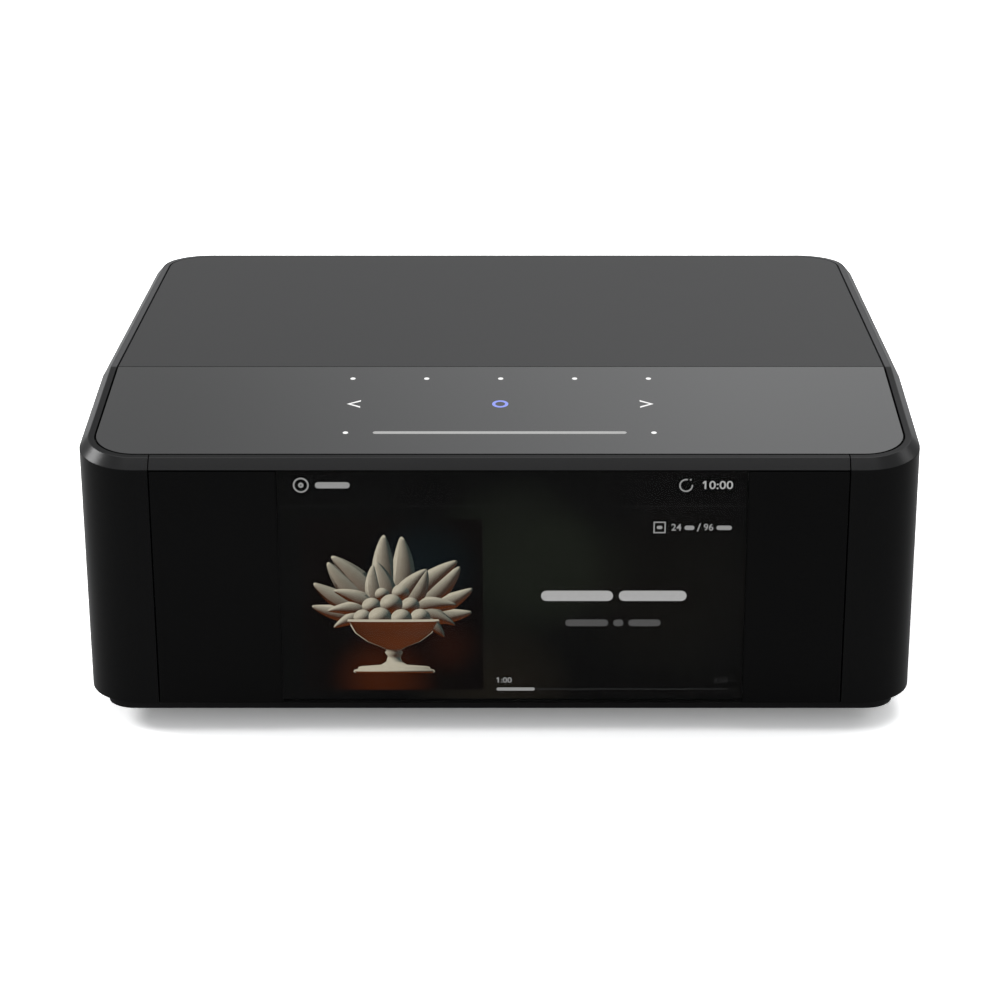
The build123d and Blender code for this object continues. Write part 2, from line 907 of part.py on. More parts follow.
def on_touch_plane(width, length, x, row, high, thickness):
    """A plate under the touch panel: row is the distance from the fold to its middle."""
    plate = Box(width, length, thickness, align=(Align.CENTER, Align.CENTER, Align.MAX))
    return touch_plane.location * Pos(x, -row, -high) * plate


def touch_sensor():
    """Clear sensing film on the touch panel's underside."""
    width = case_width - 2 * (throat_inset + sensor_inset)
    row = (light_frame_near + light_frame_far) / 2
    length = light_frame_far - light_frame_near
    return on_touch_plane(width, length, 0, row, panel_thickness, sensor_thickness)


def light_wells(gap, high, depth):
    """Wells behind the touch marks: dots, arrows, ring and slider."""
    wells = []
    dots = [(step * dot_pitch, dot_row) for step in (-2, -1, 0, 1, 2)]
    dots += [(-2 * dot_pitch, slider_row), (2 * dot_pitch, slider_row)]
    for x, row in dots:
        dot = extrude(RegularPolygon(dot_well + gap, 8), -depth)
        wells.append(touch_plane.location * Pos(x, -row, -high) * dot)
    ring = extrude(Circle(ring_well + gap), -depth)
    wells.append(touch_plane.location * Pos(0, -arrow_row, -high) * ring)
    for side in (-1, 1):
        width = arrow_well_width + 2 * gap
        length = arrow_well_length + 2 * gap
        wells.append(on_touch_plane(width, length, side * arrow_place, arrow_row, high, depth))
    wells.append(on_touch_plane(slider_length + 2 * gap, slider_well + 2 * gap, 0, slider_row, high, depth))
    return wells


def light_frame():
    """Black moulding that keeps the light of each mark apart."""
    row = (light_frame_near + light_frame_far) / 2
    length = light_frame_far - light_frame_near
    frame = on_touch_plane(light_frame_width, length, 0, row, sensor_low, light_frame_depth)
    for well in light_wells(seat_gap, sensor_low - overrun, light_frame_depth + 2 * overrun):
        frame -= well
    return frame


def mark_diffusers():
    """White plugs that spread the light behind each mark."""
    return group(light_wells(0, sensor_low, light_frame_depth))


def touch_board():
    """Sensing and lamp board on the back of the light frame."""
    row = (light_frame_near + light_frame_far) / 2
    length = light_frame_far - light_frame_near
    width = case_width - 2 * touch_board_side
    return on_touch_plane(width, length, 0, row, light_low, touch_board_thickness)


def ribbon(width, x, points):
    """A flat ribbon, bent along points given as Y and Z."""
    line = FilletPolyline(*points, radius=ribbon_bend)
    strip = trace(line, line_width=ribbon_thickness)
    return Pos(x, 0, 0) * extrude(Plane.YZ * strip, width / 2, both=True)


def ribbon_sockets():
    """Two low ribbon sockets at the main board's front edge."""
    pieces = []
    for x, width in ((display_ribbon_x, ribbon_width), (touch_ribbon_x, touch_ribbon_width)):
        wide = width + ribbon_clear
        pieces.append(block(wide, ribbon_socket_depth, ribbon_socket_height, x, main_front, board_top))
    return pieces


def display_ribbon():
    """From the back of the display bracket down and back to the main board."""
    start = backlight_back + bracket_sheet + ribbon_thickness / 2
    end = main_front
    level = board_top + ribbon_socket_height / 2
    top = level + bracket_window
    points = [(start, top), (start, level), (end, level)]
    return ribbon(ribbon_width, display_ribbon_x, points)


def touch_ribbon():
    """From the touch board's underside down to the main board."""
    row = light_frame_near + (light_frame_far - light_frame_near) / 2
    y = fold_y - row * cos(tilt)
    under = light_low + touch_board_thickness
    top = case_height - row * sin(tilt) - under / cos(tilt) - ribbon_thickness / 2 - seat_gap
    level = board_top + ribbon_socket_height / 2
    points = [(y, top), (y, level), (main_front, level)]
    return ribbon(touch_ribbon_width, touch_ribbon_x, points)


def main_chips():
    """Processor and two memory chips."""
    half = processor_size / 2
    size = processor_size
    pieces = [block(size, size, processor_height, processor_x, processor_y - half, board_top)]
    for step in (0, 1):
        y = memory_y + step * (memory_length + board_inset)
        pieces.append(block(memory_width, memory_length, processor_height, memory_x, y, board_top))
    return group(pieces)


def heat_sink():
    """Finned aluminium block on the processor."""
    base_z = board_top + processor_height
    front = processor_y - sink_length / 2
    sink = block(sink_width, sink_length, sink_base, processor_x, front, base_z)
    pitch = (sink_width - fin_thickness) / (fin_count - 1)
    for step in range(fin_count):
        x = processor_x - sink_width / 2 + fin_thickness / 2 + step * pitch
        sink += block(fin_thickness, sink_length, sink_height, x, front, base_z)
    return sink


def wireless_module():
    """Screened radio module, its can eased at the top."""
    can = block(radio_width, radio_length, radio_height, radio_x, radio_y, board_top)
    return chamfer(can.edges().group_by(Axis.Z)[-1], radio_height / 6)


def antenna_x():
    """Halfway from the deck's outer rib to its skirt."""
    return (deck_rib_places()[-1] + case_width / 2 - throat_inset) / 2


def antenna_pieces():
    """Two flat antennas stuck under the deck."""
    z = case_height - panel_thickness - antenna_thickness
    y = antenna_y - antenna_width / 2
    return group(
        block(antenna_length, antenna_width, antenna_thickness, side * antenna_x(), y, z) for side in (-1, 1)
    )


def lead(points, bend):
    """A round lead along straight runs joined by arcs."""
    path = FilletPolyline(*points, radius=bend)
    section = Plane(origin=path @ 0, z_dir=path % 0) * RegularPolygon(lead_radius, 6)
    return sweep(section, path=path)


def antenna_leads():
    """Thin screened leads from the radio module to the antennas."""
    under_deck = case_height - panel_thickness - antenna_thickness
    leads = []
    for side in (-1, 1):
        x = radio_x + side * lead_spacing
        y = radio_y + radio_length / 2
        z = board_top + radio_height
        run = under_deck - lead_drop - side * lead_spacing / 2
        far_x = side * antenna_x()
        points = [(x, y, z), (x, y, run), (far_x, antenna_y, run), (far_x, antenna_y, under_deck)]
        leads.append(lead(points, lead_bend))
    return group(leads)


def converter_shield():
    """Pressed can over the converter, open below, with rows of small holes on top."""
    front = shield_y - shield_length / 2
    can = block(shield_width, shield_length, shield_height, audio_x, front, board_top)
    inside_width = shield_width - 2 * shield_sheet
    inside_length = shield_length - 2 * shield_sheet
    inside = shield_height - shield_sheet
    can -= block(inside_width, inside_length, inside, audio_x, front + shield_sheet, board_top)
    for column_step in (-1, 0, 1):
        for row_step in (-1, 0, 1):
            x = audio_x + column_step * shield_width / 4
            y = shield_y + row_step * shield_length / 4
            can -= Pos(x, y, board_top) * extrude(RegularPolygon(shield_hole, 6), case_height)
    return can


def output_relays():
    """Two muting relays beside each other, behind the shield."""
    y = relay_y - relay_length / 2
    pieces = []
    for side in (-1, 1):
        x = audio_x + side * (relay_width + relay_gap) / 2
        pieces.append(block(relay_width, relay_length, relay_height, x, y, board_top))
    return group(pieces)


def film_capacitors():
    """Output film capacitors in a row in front of the phono block."""
    y = film_y - film_length / 2
    pieces = []
    for step in (-1, 0, 1):
        body = block(film_width, film_length, film_height, audio_x + step * film_pitch, y, board_top)
        pieces.append(chamfer(body.edges().group_by(Axis.Z)[-1], film_width / 6))
    return group(pieces)


def insulating_sheet():
    """Thin sheet on the tray under the live board, with holes for its spacers."""
    left = power_left + sheet_margin
    right = power_right - sheet_margin
    back = back_y - tray_back - sheet_margin
    sheet = between(left, right, power_front, back, tray_top, tray_top + sheet_thickness)
    for x, y in board_places(power_left, power_right, power_front):
        sheet -= upright(standoff_radius + fit_gap, board_base, x, y, 0)
    return sheet


def transformer_core():
    """Ferrite core: a ring of limbs with the middle limb through the winding."""
    x = power_x
    lift = board_top + winding_cheek
    y = transformer_y - core_length / 2
    body = block(core_width, core_length, core_height, x, y, lift)
    window_width = (core_width - 3 * core_limb) / 2
    window_length = core_length - 2 * core_limb
    for side in (-1, 1):
        window_x = x + side * (core_limb + window_width) / 2
        body -= block(window_width, window_length, core_height, window_x, y + core_limb, lift)
    return body


def transformer_winding():
    """Bobbin and winding round the middle limb, standing on the board."""
    x = power_x
    window_width = (core_width - 3 * core_limb) / 2
    width = core_limb + 2 * window_width - 2 * winding_gap
    length = core_length - 2 * core_limb - 2 * winding_gap
    y = transformer_y - length / 2
    high = core_height + 2 * winding_cheek
    coil = block(width, length, high, x, y, board_top)
    coil = fillet(coil.edges().filter_by(Axis.Z), core_limb / 4)
    coil += block(core_width, length, winding_cheek - winding_gap / 2, x, y, board_top)
    hole_width = core_limb + 2 * winding_gap
    hole_base = board_top + winding_cheek
    return coil - block(hole_width, core_length, core_height + winding_gap, x, y - core_limb, hole_base)


def capacitor(radius, height, x, y):
    """A can with an eased top."""
    half = Polyline(
        (0, 0), (radius, 0), (radius, height - can_edge), (radius - can_edge, height), (0, height),
        close=True,
    )
    return Pos(x, y, board_top) * revolve(Plane.XZ * make_face(half), Axis.Z)


def power_capacitors():
    """One large reservoir can and three on the output side."""
    cans = [capacitor(bulk_radius, bulk_height, power_x, bulk_y)]
    for step in (-1, 0, 1):
        y = power_sink_y + step * output_pitch
        cans.append(capacitor(output_radius, output_height, power_right - output_side, y))
    return group(cans)


def noise_choke():
    """Potted ring core, sixteen sided, that stands on one of its flats."""
    ring = RegularPolygon(choke_radius, 16, major_radius=False) - RegularPolygon(choke_bore, 16)
    z = board_top + choke_radius
    x = power_right - choke_side
    plane = Plane(origin=(x, harness_y, z), x_dir=(0, 1, 0), z_dir=(1, 0, 0))
    turned = plane * Rot(0, 0, 180 / 16) * ring
    return extrude(turned, choke_width / 2, both=True)


def mains_fuse():
    """Tube fuse on two clips, between the supply plug and the choke."""
    front = harness_y - fuse_length / 2
    body = rod(fuse_radius, fuse_length, fuse_x, front, board_top + 2 * fuse_radius)
    for y in (front, front + fuse_length - fuse_cap):
        body += block(2 * fuse_radius, fuse_cap, 2 * fuse_radius, fuse_x, y, board_top)
    return body


def power_heat_sink():
    """Upright plate with fins to one side and a transistor clipped on the other."""
    x = power_left + power_sink_side
    front = power_sink_y - power_sink_length / 2
    plate = block(power_sink_sheet, power_sink_length, power_sink_height, x, front, board_top)
    gap = (power_sink_length - power_sink_sheet) / (power_sink_fins - 1)
    for step in range(power_sink_fins):
        fin_x = x + (power_sink_sheet + power_sink_fin) / 2
        y = front + step * gap
        plate += block(power_sink_fin, power_sink_sheet, power_sink_height, fin_x, y, board_top)
    return plate


def power_transistors():
    """Two packages against the sink's flat side."""
    pieces = []
    x = power_left + power_sink_side - power_sink_sheet / 2 - transistor_depth / 2
    front = power_sink_y - power_sink_length / 2
    for step in (0, 1):
        y = front + power_sink_sheet + step * (transistor_width + power_sink_sheet * 2)
        pieces.append(block(transistor_depth, transistor_width, transistor_height, x, y, board_top))
    return group(pieces)


def harness_plugs():
    """White plug housings on the power board and the main board."""
    length = harness_pitch * (harness_wires + 1)
    y = harness_y - length / 2
    pieces = []
    for x in (main_right - harness_reach, power_left + harness_reach):
        pieces.append(block(harness_plug_width, length, harness_plug_height, x, y, board_top))
    return pieces


def supply_harness():
    """Flat four wire cable that arches from the power board to the main board."""
    low_x = main_right - harness_reach
    high_x = power_left + harness_reach
    z = board_top + harness_plug_height
    crest = z + harness_loop
    line = FilletPolyline((low_x, z), (low_x, crest), (high_x, crest), (high_x, z), radius=harness_bend)
    strip = trace(line, line_width=harness_wire)
    width = harness_pitch * harness_wires
    return Pos(0, harness_y, 0) * extrude(Plane.XZ * strip, width / 2, both=True)


def facing_plane(x, y, z):
    """A plane that faces backwards, with its first axis along X."""
    return Plane(origin=(x, y, z), x_dir=(-1, 0, 0), z_dir=(0, 1, 0))


def mains_inlet():
    """Two pin inlet: a rounded body with a figure of eight mouth."""
    z = board_top + inlet_height / 2
    body = block(inlet_width, inlet_depth, inlet_height, inlet_x, sockets_face - inlet_depth, board_top)
    body = fillet(body.edges().filter_by(Axis.Y), inlet_corner)
    mouth = inlet_mouth()
    floor = sockets_face - inlet_mouth_depth
    return body - extrude(facing_plane(inlet_x, floor, z) * mouth, inlet_mouth_depth + overrun)


def inlet_mouth():
    """Two overlapping rounds joined by a waist."""
    lobe = inlet_mouth_height / 2
    offset = inlet_mouth_width / 2 - lobe
    waist = Rectangle(2 * offset, inlet_mouth_height - lobe / 2)
    return Pos(-offset, 0) * Circle(lobe) + Pos(offset, 0) * Circle(lobe) + waist


def mains_pins():
    z = board_top + inlet_height / 2
    floor = sockets_face - inlet_mouth_depth
    pins = []
    for side in (-1, 1):
        pin = rod(inlet_pin_radius, inlet_pin_length, inlet_x + side * inlet_pin_pitch / 2, floor, z)
        pins.append(chamfer(pin.edges().group_by(Axis.Y)[-1], inlet_pin_radius / 4))
    return group(pins)


def network_z():
    return board_top + network_mouth_base


def network_socket():
    """Eight contact socket: a screened block with the stepped mouth of its plug and latch."""
    front = sockets_face - network_depth
    body = block(network_width, network_depth, network_height, network_x, front, board_top)
    floor = sockets_face - network_mouth_depth
    deep = network_mouth_depth + overrun
    base = network_z()
    body -= block(network_mouth_width, deep, network_mouth_height, network_x, floor, base)
    key_base = base - network_key_height
    body -= block(network_key_width, deep, network_key_height + seat_gap, network_x, floor, key_base)
    catch_base = key_base - network_catch_height
    body -= block(network_catch_width, deep, network_catch_height + seat_gap, network_x, floor, catch_base)
    return body


def network_contacts():
    """Row of sprung wires that slope down from the socket's roof."""
    roof = network_z() + network_mouth_height
    floor = sockets_face - network_mouth_depth
    run = network_mouth_depth * 2 / 3
    profile = Polyline(
        (floor, roof), (floor + run, roof), (floor + run, roof - contact_thickness),
        (floor, roof - contact_drop - contact_thickness), close=True,
    )
    wires = []
    for step in range(contact_count):
        x = network_x + (step - (contact_count - 1) / 2) * contact_pitch
        wire = extrude(Plane.YZ * make_face(profile), contact_thickness / 2, both=True)
        wires.append(Pos(x, 0, 0) * wire)
    return group(wires)


def data_base():
    return board_top + data_sheet


def data_socket():
    """Folded sheet tube with a closed back."""
    width = data_mouth_width + 2 * data_sheet
    height = data_mouth_height + 2 * data_sheet
    body = block(width, data_depth, height, data_x, sockets_face - data_depth, board_top)
    floor = sockets_face - data_mouth_depth
    return body - block(data_mouth_width, data_depth, data_mouth_height, data_x, floor, data_base())


def tv_socket():
    """Sheet tube whose mouth has bevelled lower corners."""
    width = tv_mouth_width + 2 * tv_sheet
    height = tv_mouth_height + 2 * tv_sheet
    body = block(width, tv_depth, height, tv_x, sockets_face - tv_depth, board_top)
    floor = sockets_face - tv_mouth_depth
    half = tv_mouth_width / 2
    top = tv_mouth_height
    profile = Polyline(
        (-half, top), (half, top), (half, tv_mouth_bevel), (half - tv_mouth_bevel, 0),
        (tv_mouth_bevel - half, 0), (-half, tv_mouth_bevel), close=True,
    )
    mouth = facing_plane(tv_x, floor, board_top + tv_sheet) * make_face(profile)
    return body - extrude(mouth, tv_depth)


def socket_tongues():
    """Contact tongues of the two flat sockets."""
    data_z = data_base() + data_mouth_height - data_tongue_drop - data_tongue_thickness
    data_length = data_mouth_depth - tongue_setback
    data_floor = sockets_face - data_mouth_depth
    data = block(data_tongue_width, data_length, data_tongue_thickness, data_x, data_floor, data_z)
    tv_z = board_top + tv_sheet + (tv_mouth_height - tv_tongue_thickness) / 2
    tv_floor = sockets_face - tv_mouth_depth
    tv = block(tv_tongue_width, tv_mouth_depth - tongue_setback, tv_tongue_thickness, tv_x, tv_floor, tv_z)
    return group([data, tv])


def flap_axis():
    """Where the optical socket's flap turns: Y and Z."""
    y = sockets_face - optical_bezel - flap_gap - flap_barrel
    z = board_top + optical_base + optical_mouth + flap_barrel
    return y, z


def optical_socket():
    """Moulded block: square mouth, room behind it for the flap, and the light port at the back."""
    axis_y, axis_z = flap_axis()
    mouth_base = board_top + optical_base
    cavity_back = axis_y - (axis_z - mouth_base) - flap_headroom
    depth = sockets_face - cavity_back + optical_back
    body = block(optical_width, depth, optical_height, optical_x, cavity_back - optical_back, board_top)
    bezel_front = sockets_face - optical_bezel - flap_barrel
    body -= block(optical_mouth, depth, optical_mouth, optical_x, bezel_front, mouth_base)
    cavity_width = optical_mouth + 2 * optical_side_gap
    cavity_base = mouth_base - optical_side_gap
    cavity_top = axis_z + flap_barrel + flap_headroom / 2
    cavity_depth = sockets_face - optical_bezel - cavity_back
    body -= block(cavity_width, cavity_depth, cavity_top - cavity_base, optical_x, cavity_back, cavity_base)
    hole_length = cavity_width + 2 * flap_pin_length + 2 * seat_gap
    pin_hole = Rot(0, 90, 0) * Cylinder(flap_pin_radius + flap_pin_clearance, hole_length)
    body -= Pos(optical_x, axis_y, axis_z) * pin_hole
    port_z = mouth_base + optical_mouth / 2
    return body - rod(lens_radius, lens_depth, optical_x, cavity_back - lens_depth, port_z)


def optical_shutter():
    """Flap on two stub pins, closed by a light spring."""
    axis_y, axis_z = flap_axis()
    mouth_base = board_top + optical_base
    width = optical_mouth + optical_side_gap
    flap_base = mouth_base - optical_side_gap / 2
    flap_back = axis_y + flap_barrel - flap_thickness
    flap = block(width, flap_thickness, axis_z - flap_base, optical_x, flap_back, flap_base)
    barrel = Rot(0, 90, 0) * Cylinder(flap_barrel, width)
    pins = Rot(0, 90, 0) * Cylinder(flap_pin_radius, width + 2 * flap_pin_length)
    return flap + Pos(optical_x, axis_y, axis_z) * barrel + Pos(optical_x, axis_y, axis_z) * pins


def phono_places():
    x_low = phono_x - phono_pitch / 2
    return [(x_low + a * phono_pitch, phono_z + b * phono_rise) for a in (0, 1) for b in (0, 1)]


def phono_back():
    """The face of the block that the jacks stand on."""
    return back_y - rear_plate - phono_flange


def phono_block():
    """Moulded block that carries the four jacks."""
    width = phono_pitch + 2 * phono_block_edge
    height = phono_low + phono_rise + phono_block_edge
    body = block(width, phono_block_depth, height, phono_x, phono_back() - phono_block_depth, board_top)
    return chamfer(body.edges().filter_by(Axis.Y), phono_block_edge / 6)


def phono_barrels():
    """Turned barrels with a flange behind the panel and a collar in its hole."""
    barrels = []
    base = phono_back()
    collar = phono_flange + rear_plate + phono_collar_proud
    half = Polyline(
        (phono_bore, 0), (phono_flange_radius, 0), (phono_flange_radius, phono_flange),
        (phono_collar, phono_flange), (phono_collar, collar), (phono_radius, collar),
        (phono_radius, barrel_length()), (phono_bore, barrel_length()), close=True,
    )
    turned = revolve(Plane.XZ * make_face(half), Axis.Z)
    for x, z in phono_places():
        barrels.append(Pos(x, base, z) * Rot(-90, 0, 0) * turned)
    return group(barrels)


def barrel_length():
    return back_y + jack_reach - phono_back()


def phono_insulators():
    """Coloured plugs inside the barrels, bored for the plug's pin."""
    plugs = []
    base = phono_back()
    length = barrel_length() - can_edge
    for x, z in phono_places():
        plug = rod(phono_bore - seat_gap, length, x, base, z)
        floor = base + length - phono_contact_depth
        plugs.append(plug - rod(phono_contact, phono_contact_depth + overrun, x, floor, z))
    return group(plugs)


def small_jacks():
    """Two round jacks of one kind: a block on the board with a collar through the panel."""
    pieces = []
    z = board_top + small_jack_height / 2
    face = back_y - rear_plate - fit_gap
    floor = sockets_face - small_jack_bore_depth
    back = floor - small_jack_wall
    for x in (near_jack_x, far_jack_x):
        body = block(small_jack_width, face - back, small_jack_height, x, back, board_top)
        body += rod(small_jack_collar, sockets_face - face, x, face, z)
        bore = rod(small_jack_bore, small_jack_bore_depth + overrun, x, floor, z)
        pieces.append(body - bore)
    return group(pieces)


def button_z():
    return board_top + button_height


def button_front():
    """Where the button's inner end rests on the switch's plunger."""
    return back_y + button_proud - button_length


def service_button():
    """Round cap with an eased edge."""
    cap = rod(button_radius, button_length, button_x, button_front(), button_z())
    return chamfer(cap.edges().group_by(Axis.Y)[-1], button_edge)


def switch_plunger():
    """Short stem that the button pushes into the switch."""
    return rod(plunger_radius, plunger_length, button_x, button_front() - plunger_length, button_z())


def button_switch():
    """Sprung switch on the main board, with a bore for its plunger."""
    face = button_front() - plunger_length + plunger_socket - button_travel - fit_gap
    body = block(switch_width, switch_depth, switch_height, button_x, face - switch_depth, board_top)
    floor = face - plunger_socket
    return body - rod(plunger_radius + seat_gap, plunger_socket + overrun, button_x, floor, button_z())


def rear_panel():
    """Connector plate let into the back of the shell, cut out for every socket."""
    panel = rear_sheet(0, rear_corner, back_y - rear_plate, back_y)
    deep = rear_plate + 2 * overrun
    start = back_y - rear_plate - overrun
    grow = 2 * fit_gap
    boxes = [
        (network_x, network_width, network_height),
        (data_x, data_mouth_width + 2 * data_sheet, data_mouth_height + 2 * data_sheet),
        (tv_x, tv_mouth_width + 2 * tv_sheet, tv_mouth_height + 2 * tv_sheet),
        (optical_x, optical_width, optical_height),
    ]
    inlet = block(inlet_width + grow, deep, inlet_height + grow, inlet_x, start, board_top - fit_gap)
    panel -= fillet(inlet.edges().filter_by(Axis.Y), inlet_corner + fit_gap)
    for x, width, height in boxes:
        panel -= block(width + grow, deep, height + grow, x, start, board_top - fit_gap)
    for x, z in phono_places():
        panel -= rod(phono_collar + fit_gap, deep, x, start, z)
    for x in (near_jack_x, far_jack_x):
        panel -= rod(small_jack_collar + fit_gap, deep, x, start, board_top + small_jack_height / 2)
    panel -= rod(button_radius + fit_gap, deep, button_x, start, button_z())
    for x, z in rear_screw_places():
        panel -= rod(screw_radius + fit_gap, deep, x, start, z)
    return panel


pieces = {
    "wrap_shell": wrap_shell(),
    "front_frame": front_frame(),
    "front_glass": front_glass(),
    "glass_tape": glass_tape(),
    "touch_panel": touch_panel(),
    "top_deck": top_deck(),
    "fold_beam": fold_beam(),
    "bottom_cover": bottom_cover(),
    "rubber_feet": rubber_feet(),
    "case_screws": group(base_screws() + panel_screws()),
    "rear_panel": rear_panel(),
    "chassis_tray": chassis_tray(),
    "board_standoffs": board_standoffs(),
    "inner_screws": group(board_screws() + frame_screws()),
    "display_panel": display_panel(),
    "display_backlight": display_backlight(),
    "display_bracket": display_bracket(),
    "display_ribbon": display_ribbon(),
    "touch_sensor": touch_sensor(),
    "light_frame": light_frame(),
    "mark_diffusers": mark_diffusers(),
    "touch_board": touch_board(),
    "touch_ribbon": touch_ribbon(),
    "main_board": board(main_left, main_right, main_front),
    "main_chips": main_chips(),
    "heat_sink": heat_sink(),
    "wireless_module": wireless_module(),
    "antennas": antenna_pieces(),
    "antenna_leads": antenna_leads(),
    "audio_board": board(audio_left, audio_right, audio_front),
    "converter_shield": converter_shield(),
    "output_relays": output_relays(),
    "film_capacitors": film_capacitors(),
    "power_board": board(power_left, power_right, power_front),
    "insulating_sheet": insulating_sheet(),
    "transformer_core": transformer_core(),
    "transformer_winding": transformer_winding(),
    "power_capacitors": power_capacitors(),
    "noise_choke": noise_choke(),
    "mains_fuse": mains_fuse(),
    "power_heat_sink": power_heat_sink(),
    "power_transistors": power_transistors(),
    "board_plugs": group(harness_plugs() + ribbon_sockets()),
    "supply_harness": supply_harness(),
    "mains_inlet": mains_inlet(),
    "mains_pins": mains_pins(),
    "network_socket": network_socket(),
    "network_contacts": network_contacts(),
    "data_socket": data_socket(),
    "tv_socket": tv_socket(),
    "socket_tongues": socket_tongues(),
    "optical_socket": optical_socket(),
    "optical_shutter": optical_shutter(),
    "phono_block": phono_block(),
    "phono_barrels": phono_barrels(),
    "phono_insulators": phono_insulators(),
    "small_jacks": small_jacks(),
    "service_button": service_button(),
    "switch_plunger": switch_plunger(),
    "button_switch": button_switch(),
}

for name, piece in pieces.items():
    export_step(piece, f"parts/{name}.step")
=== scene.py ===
"""Network music streamer: its finished pieces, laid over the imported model."""

import json
import math

import bmesh
import bpy
from bpy.props import FloatProperty, FloatVectorProperty, PointerProperty
from bpy.types import Operator, Panel, PropertyGroup
from mathutils import Matrix, Vector


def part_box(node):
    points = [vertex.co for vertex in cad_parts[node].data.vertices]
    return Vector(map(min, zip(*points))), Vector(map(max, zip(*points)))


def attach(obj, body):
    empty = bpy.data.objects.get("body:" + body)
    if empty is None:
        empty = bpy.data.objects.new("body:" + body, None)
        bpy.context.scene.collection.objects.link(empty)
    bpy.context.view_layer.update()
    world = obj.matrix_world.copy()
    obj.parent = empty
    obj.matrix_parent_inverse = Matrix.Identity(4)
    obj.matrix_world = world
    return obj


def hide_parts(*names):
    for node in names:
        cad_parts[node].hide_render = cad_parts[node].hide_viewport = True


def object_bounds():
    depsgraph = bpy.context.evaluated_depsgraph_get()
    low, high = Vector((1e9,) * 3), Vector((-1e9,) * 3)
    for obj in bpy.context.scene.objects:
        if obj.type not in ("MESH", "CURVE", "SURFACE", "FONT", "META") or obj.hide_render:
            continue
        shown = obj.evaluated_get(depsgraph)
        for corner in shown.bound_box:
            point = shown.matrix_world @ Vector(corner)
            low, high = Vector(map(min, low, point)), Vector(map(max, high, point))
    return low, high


bl_info = {
    "name": "Network Music Streamer",
    "version": (1, 0, 0),
    "blender": (4, 5, 0),
    "location": "View3D > Sidebar > Streamer",
    "description": "Builds the casing, panels, screen, sockets and stage of a music streamer",
    "category": "Object",
}

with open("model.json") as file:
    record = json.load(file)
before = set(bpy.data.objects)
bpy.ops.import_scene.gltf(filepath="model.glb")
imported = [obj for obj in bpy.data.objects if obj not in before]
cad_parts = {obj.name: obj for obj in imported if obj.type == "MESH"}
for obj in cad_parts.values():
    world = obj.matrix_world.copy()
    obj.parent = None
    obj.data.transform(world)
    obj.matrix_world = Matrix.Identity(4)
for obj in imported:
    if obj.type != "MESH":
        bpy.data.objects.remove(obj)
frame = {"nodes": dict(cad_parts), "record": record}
cad_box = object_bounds()

MM = 0.001
MICRON = 0.001 * MM
CASING = "casing"
BUTTON = "button"
SHUTTER = "shutter"

# Front of the display's pane, and the height of the deck
PANE_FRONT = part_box("display_panel")[0].y
DECK_TOP = cad_box[1].z

# The fold between the deck and the sloping touch panel
SLOPE = math.radians(8.45)
FOLD_Y = -39.7 * MM

# Middle of the casing's depth and of a front corner's rounding
MIDDLE_Y = -4.5 * MM
CORNER_X = 94.1 * MM
CORNER_Y = -80.6 * MM

# The bevel: its upper edge's radius in a corner, also as a share of its lower edge's, and how far
# the lower edge lies under the deck
LAND_RADIUS = 13.35 * MM
RIM_SHRINK = 0.851
RIM_DROP = 2.75 * MM

# Middle of a foot, and of the display's window with half its width
FOOT_X = 78.0 * MM
FOOT_Y = 61.5 * MM
WINDOW_X = 3.335 * MM
WINDOW_HALF = 60.85 * MM

# Camera of the photograph
CAMERA_PLACE = Vector((6.23, -718.55, 287.73)) * MM
CAMERA_TILT = math.radians(70.37)
CAMERA_LENS = 92.34
CAMERA_SHIFT = -0.0235


# ---- shader maths


class Wire:
    """An output socket that takes part in Python sums."""

    def __init__(self, finish, socket):
        self.finish = finish
        self.socket = socket

    def _sum(self, operation, first, second=None):
        inputs = {0: first} if second is None else {0: first, 1: second}
        return self.finish.node("ShaderNodeMath", {"operation": operation}, inputs)

    def __add__(self, other):
        return self._sum("ADD", self, other)

    def __sub__(self, other):
        return self._sum("SUBTRACT", self, other)

    def __mul__(self, other):
        return self._sum("MULTIPLY", self, other)

    def __truediv__(self, other):
        return self._sum("DIVIDE", self, other)

    def __radd__(self, other):
        return self._sum("ADD", other, self)

    def __rsub__(self, other):
        return self._sum("SUBTRACT", other, self)

    def __rmul__(self, other):
        return self._sum("MULTIPLY", other, self)

    def __rtruediv__(self, other):
        return self._sum("DIVIDE", other, self)

    def __pow__(self, other):
        return self._sum("POWER", self, other)

    def __gt__(self, other):
        return self._sum("GREATER_THAN", self, other)

    def __lt__(self, other):
        return self._sum("LESS_THAN", self, other)

    def __abs__(self):
        return self._sum("ABSOLUTE", self)

    def clamped(self):
        """Held between 0 and 1."""
        return self.finish.node(
            "ShaderNodeMath", {"operation": "ADD", "use_clamp": True}, {0: self, 1: 0.0}
        )

    def least(self, other):
        return self._sum("MINIMUM", self, other)

    def most(self, other):
        return self._sum("MAXIMUM", self, other)

    def sine(self):
        return self._sum("SINE", self)


class Laid:
    """A node tree while its nodes are laid."""

    def __init__(self, tree):
        self.tree = tree

    def node(self, kind, settings=(), inputs=(), output=0, stops=()):
        """Add a node: its settings first, then its sockets; give one output."""
        node = self.tree.nodes.new(kind)
        for key, value in dict(settings).items():
            setattr(node, key, value)
        for index, (position, colour) in enumerate(stops):
            points = node.color_ramp.elements
            point = points[index] if index < len(points) else points.new(position)
            point.position = position
            point.color = (*colour, 1.0)
        for key, value in dict(inputs).items():
            self.feed(node.inputs[key], value)
        return Wire(self, node.outputs[output])

    def feed(self, socket, value):
        """Link a wire to a socket, or set the socket's own value."""
        if isinstance(value, Wire):
            self.tree.links.new(value.socket, socket)
        elif socket.type == "RGBA" and len(value) == 3:
            socket.default_value = (*value, 1.0)
        else:
            socket.default_value = value


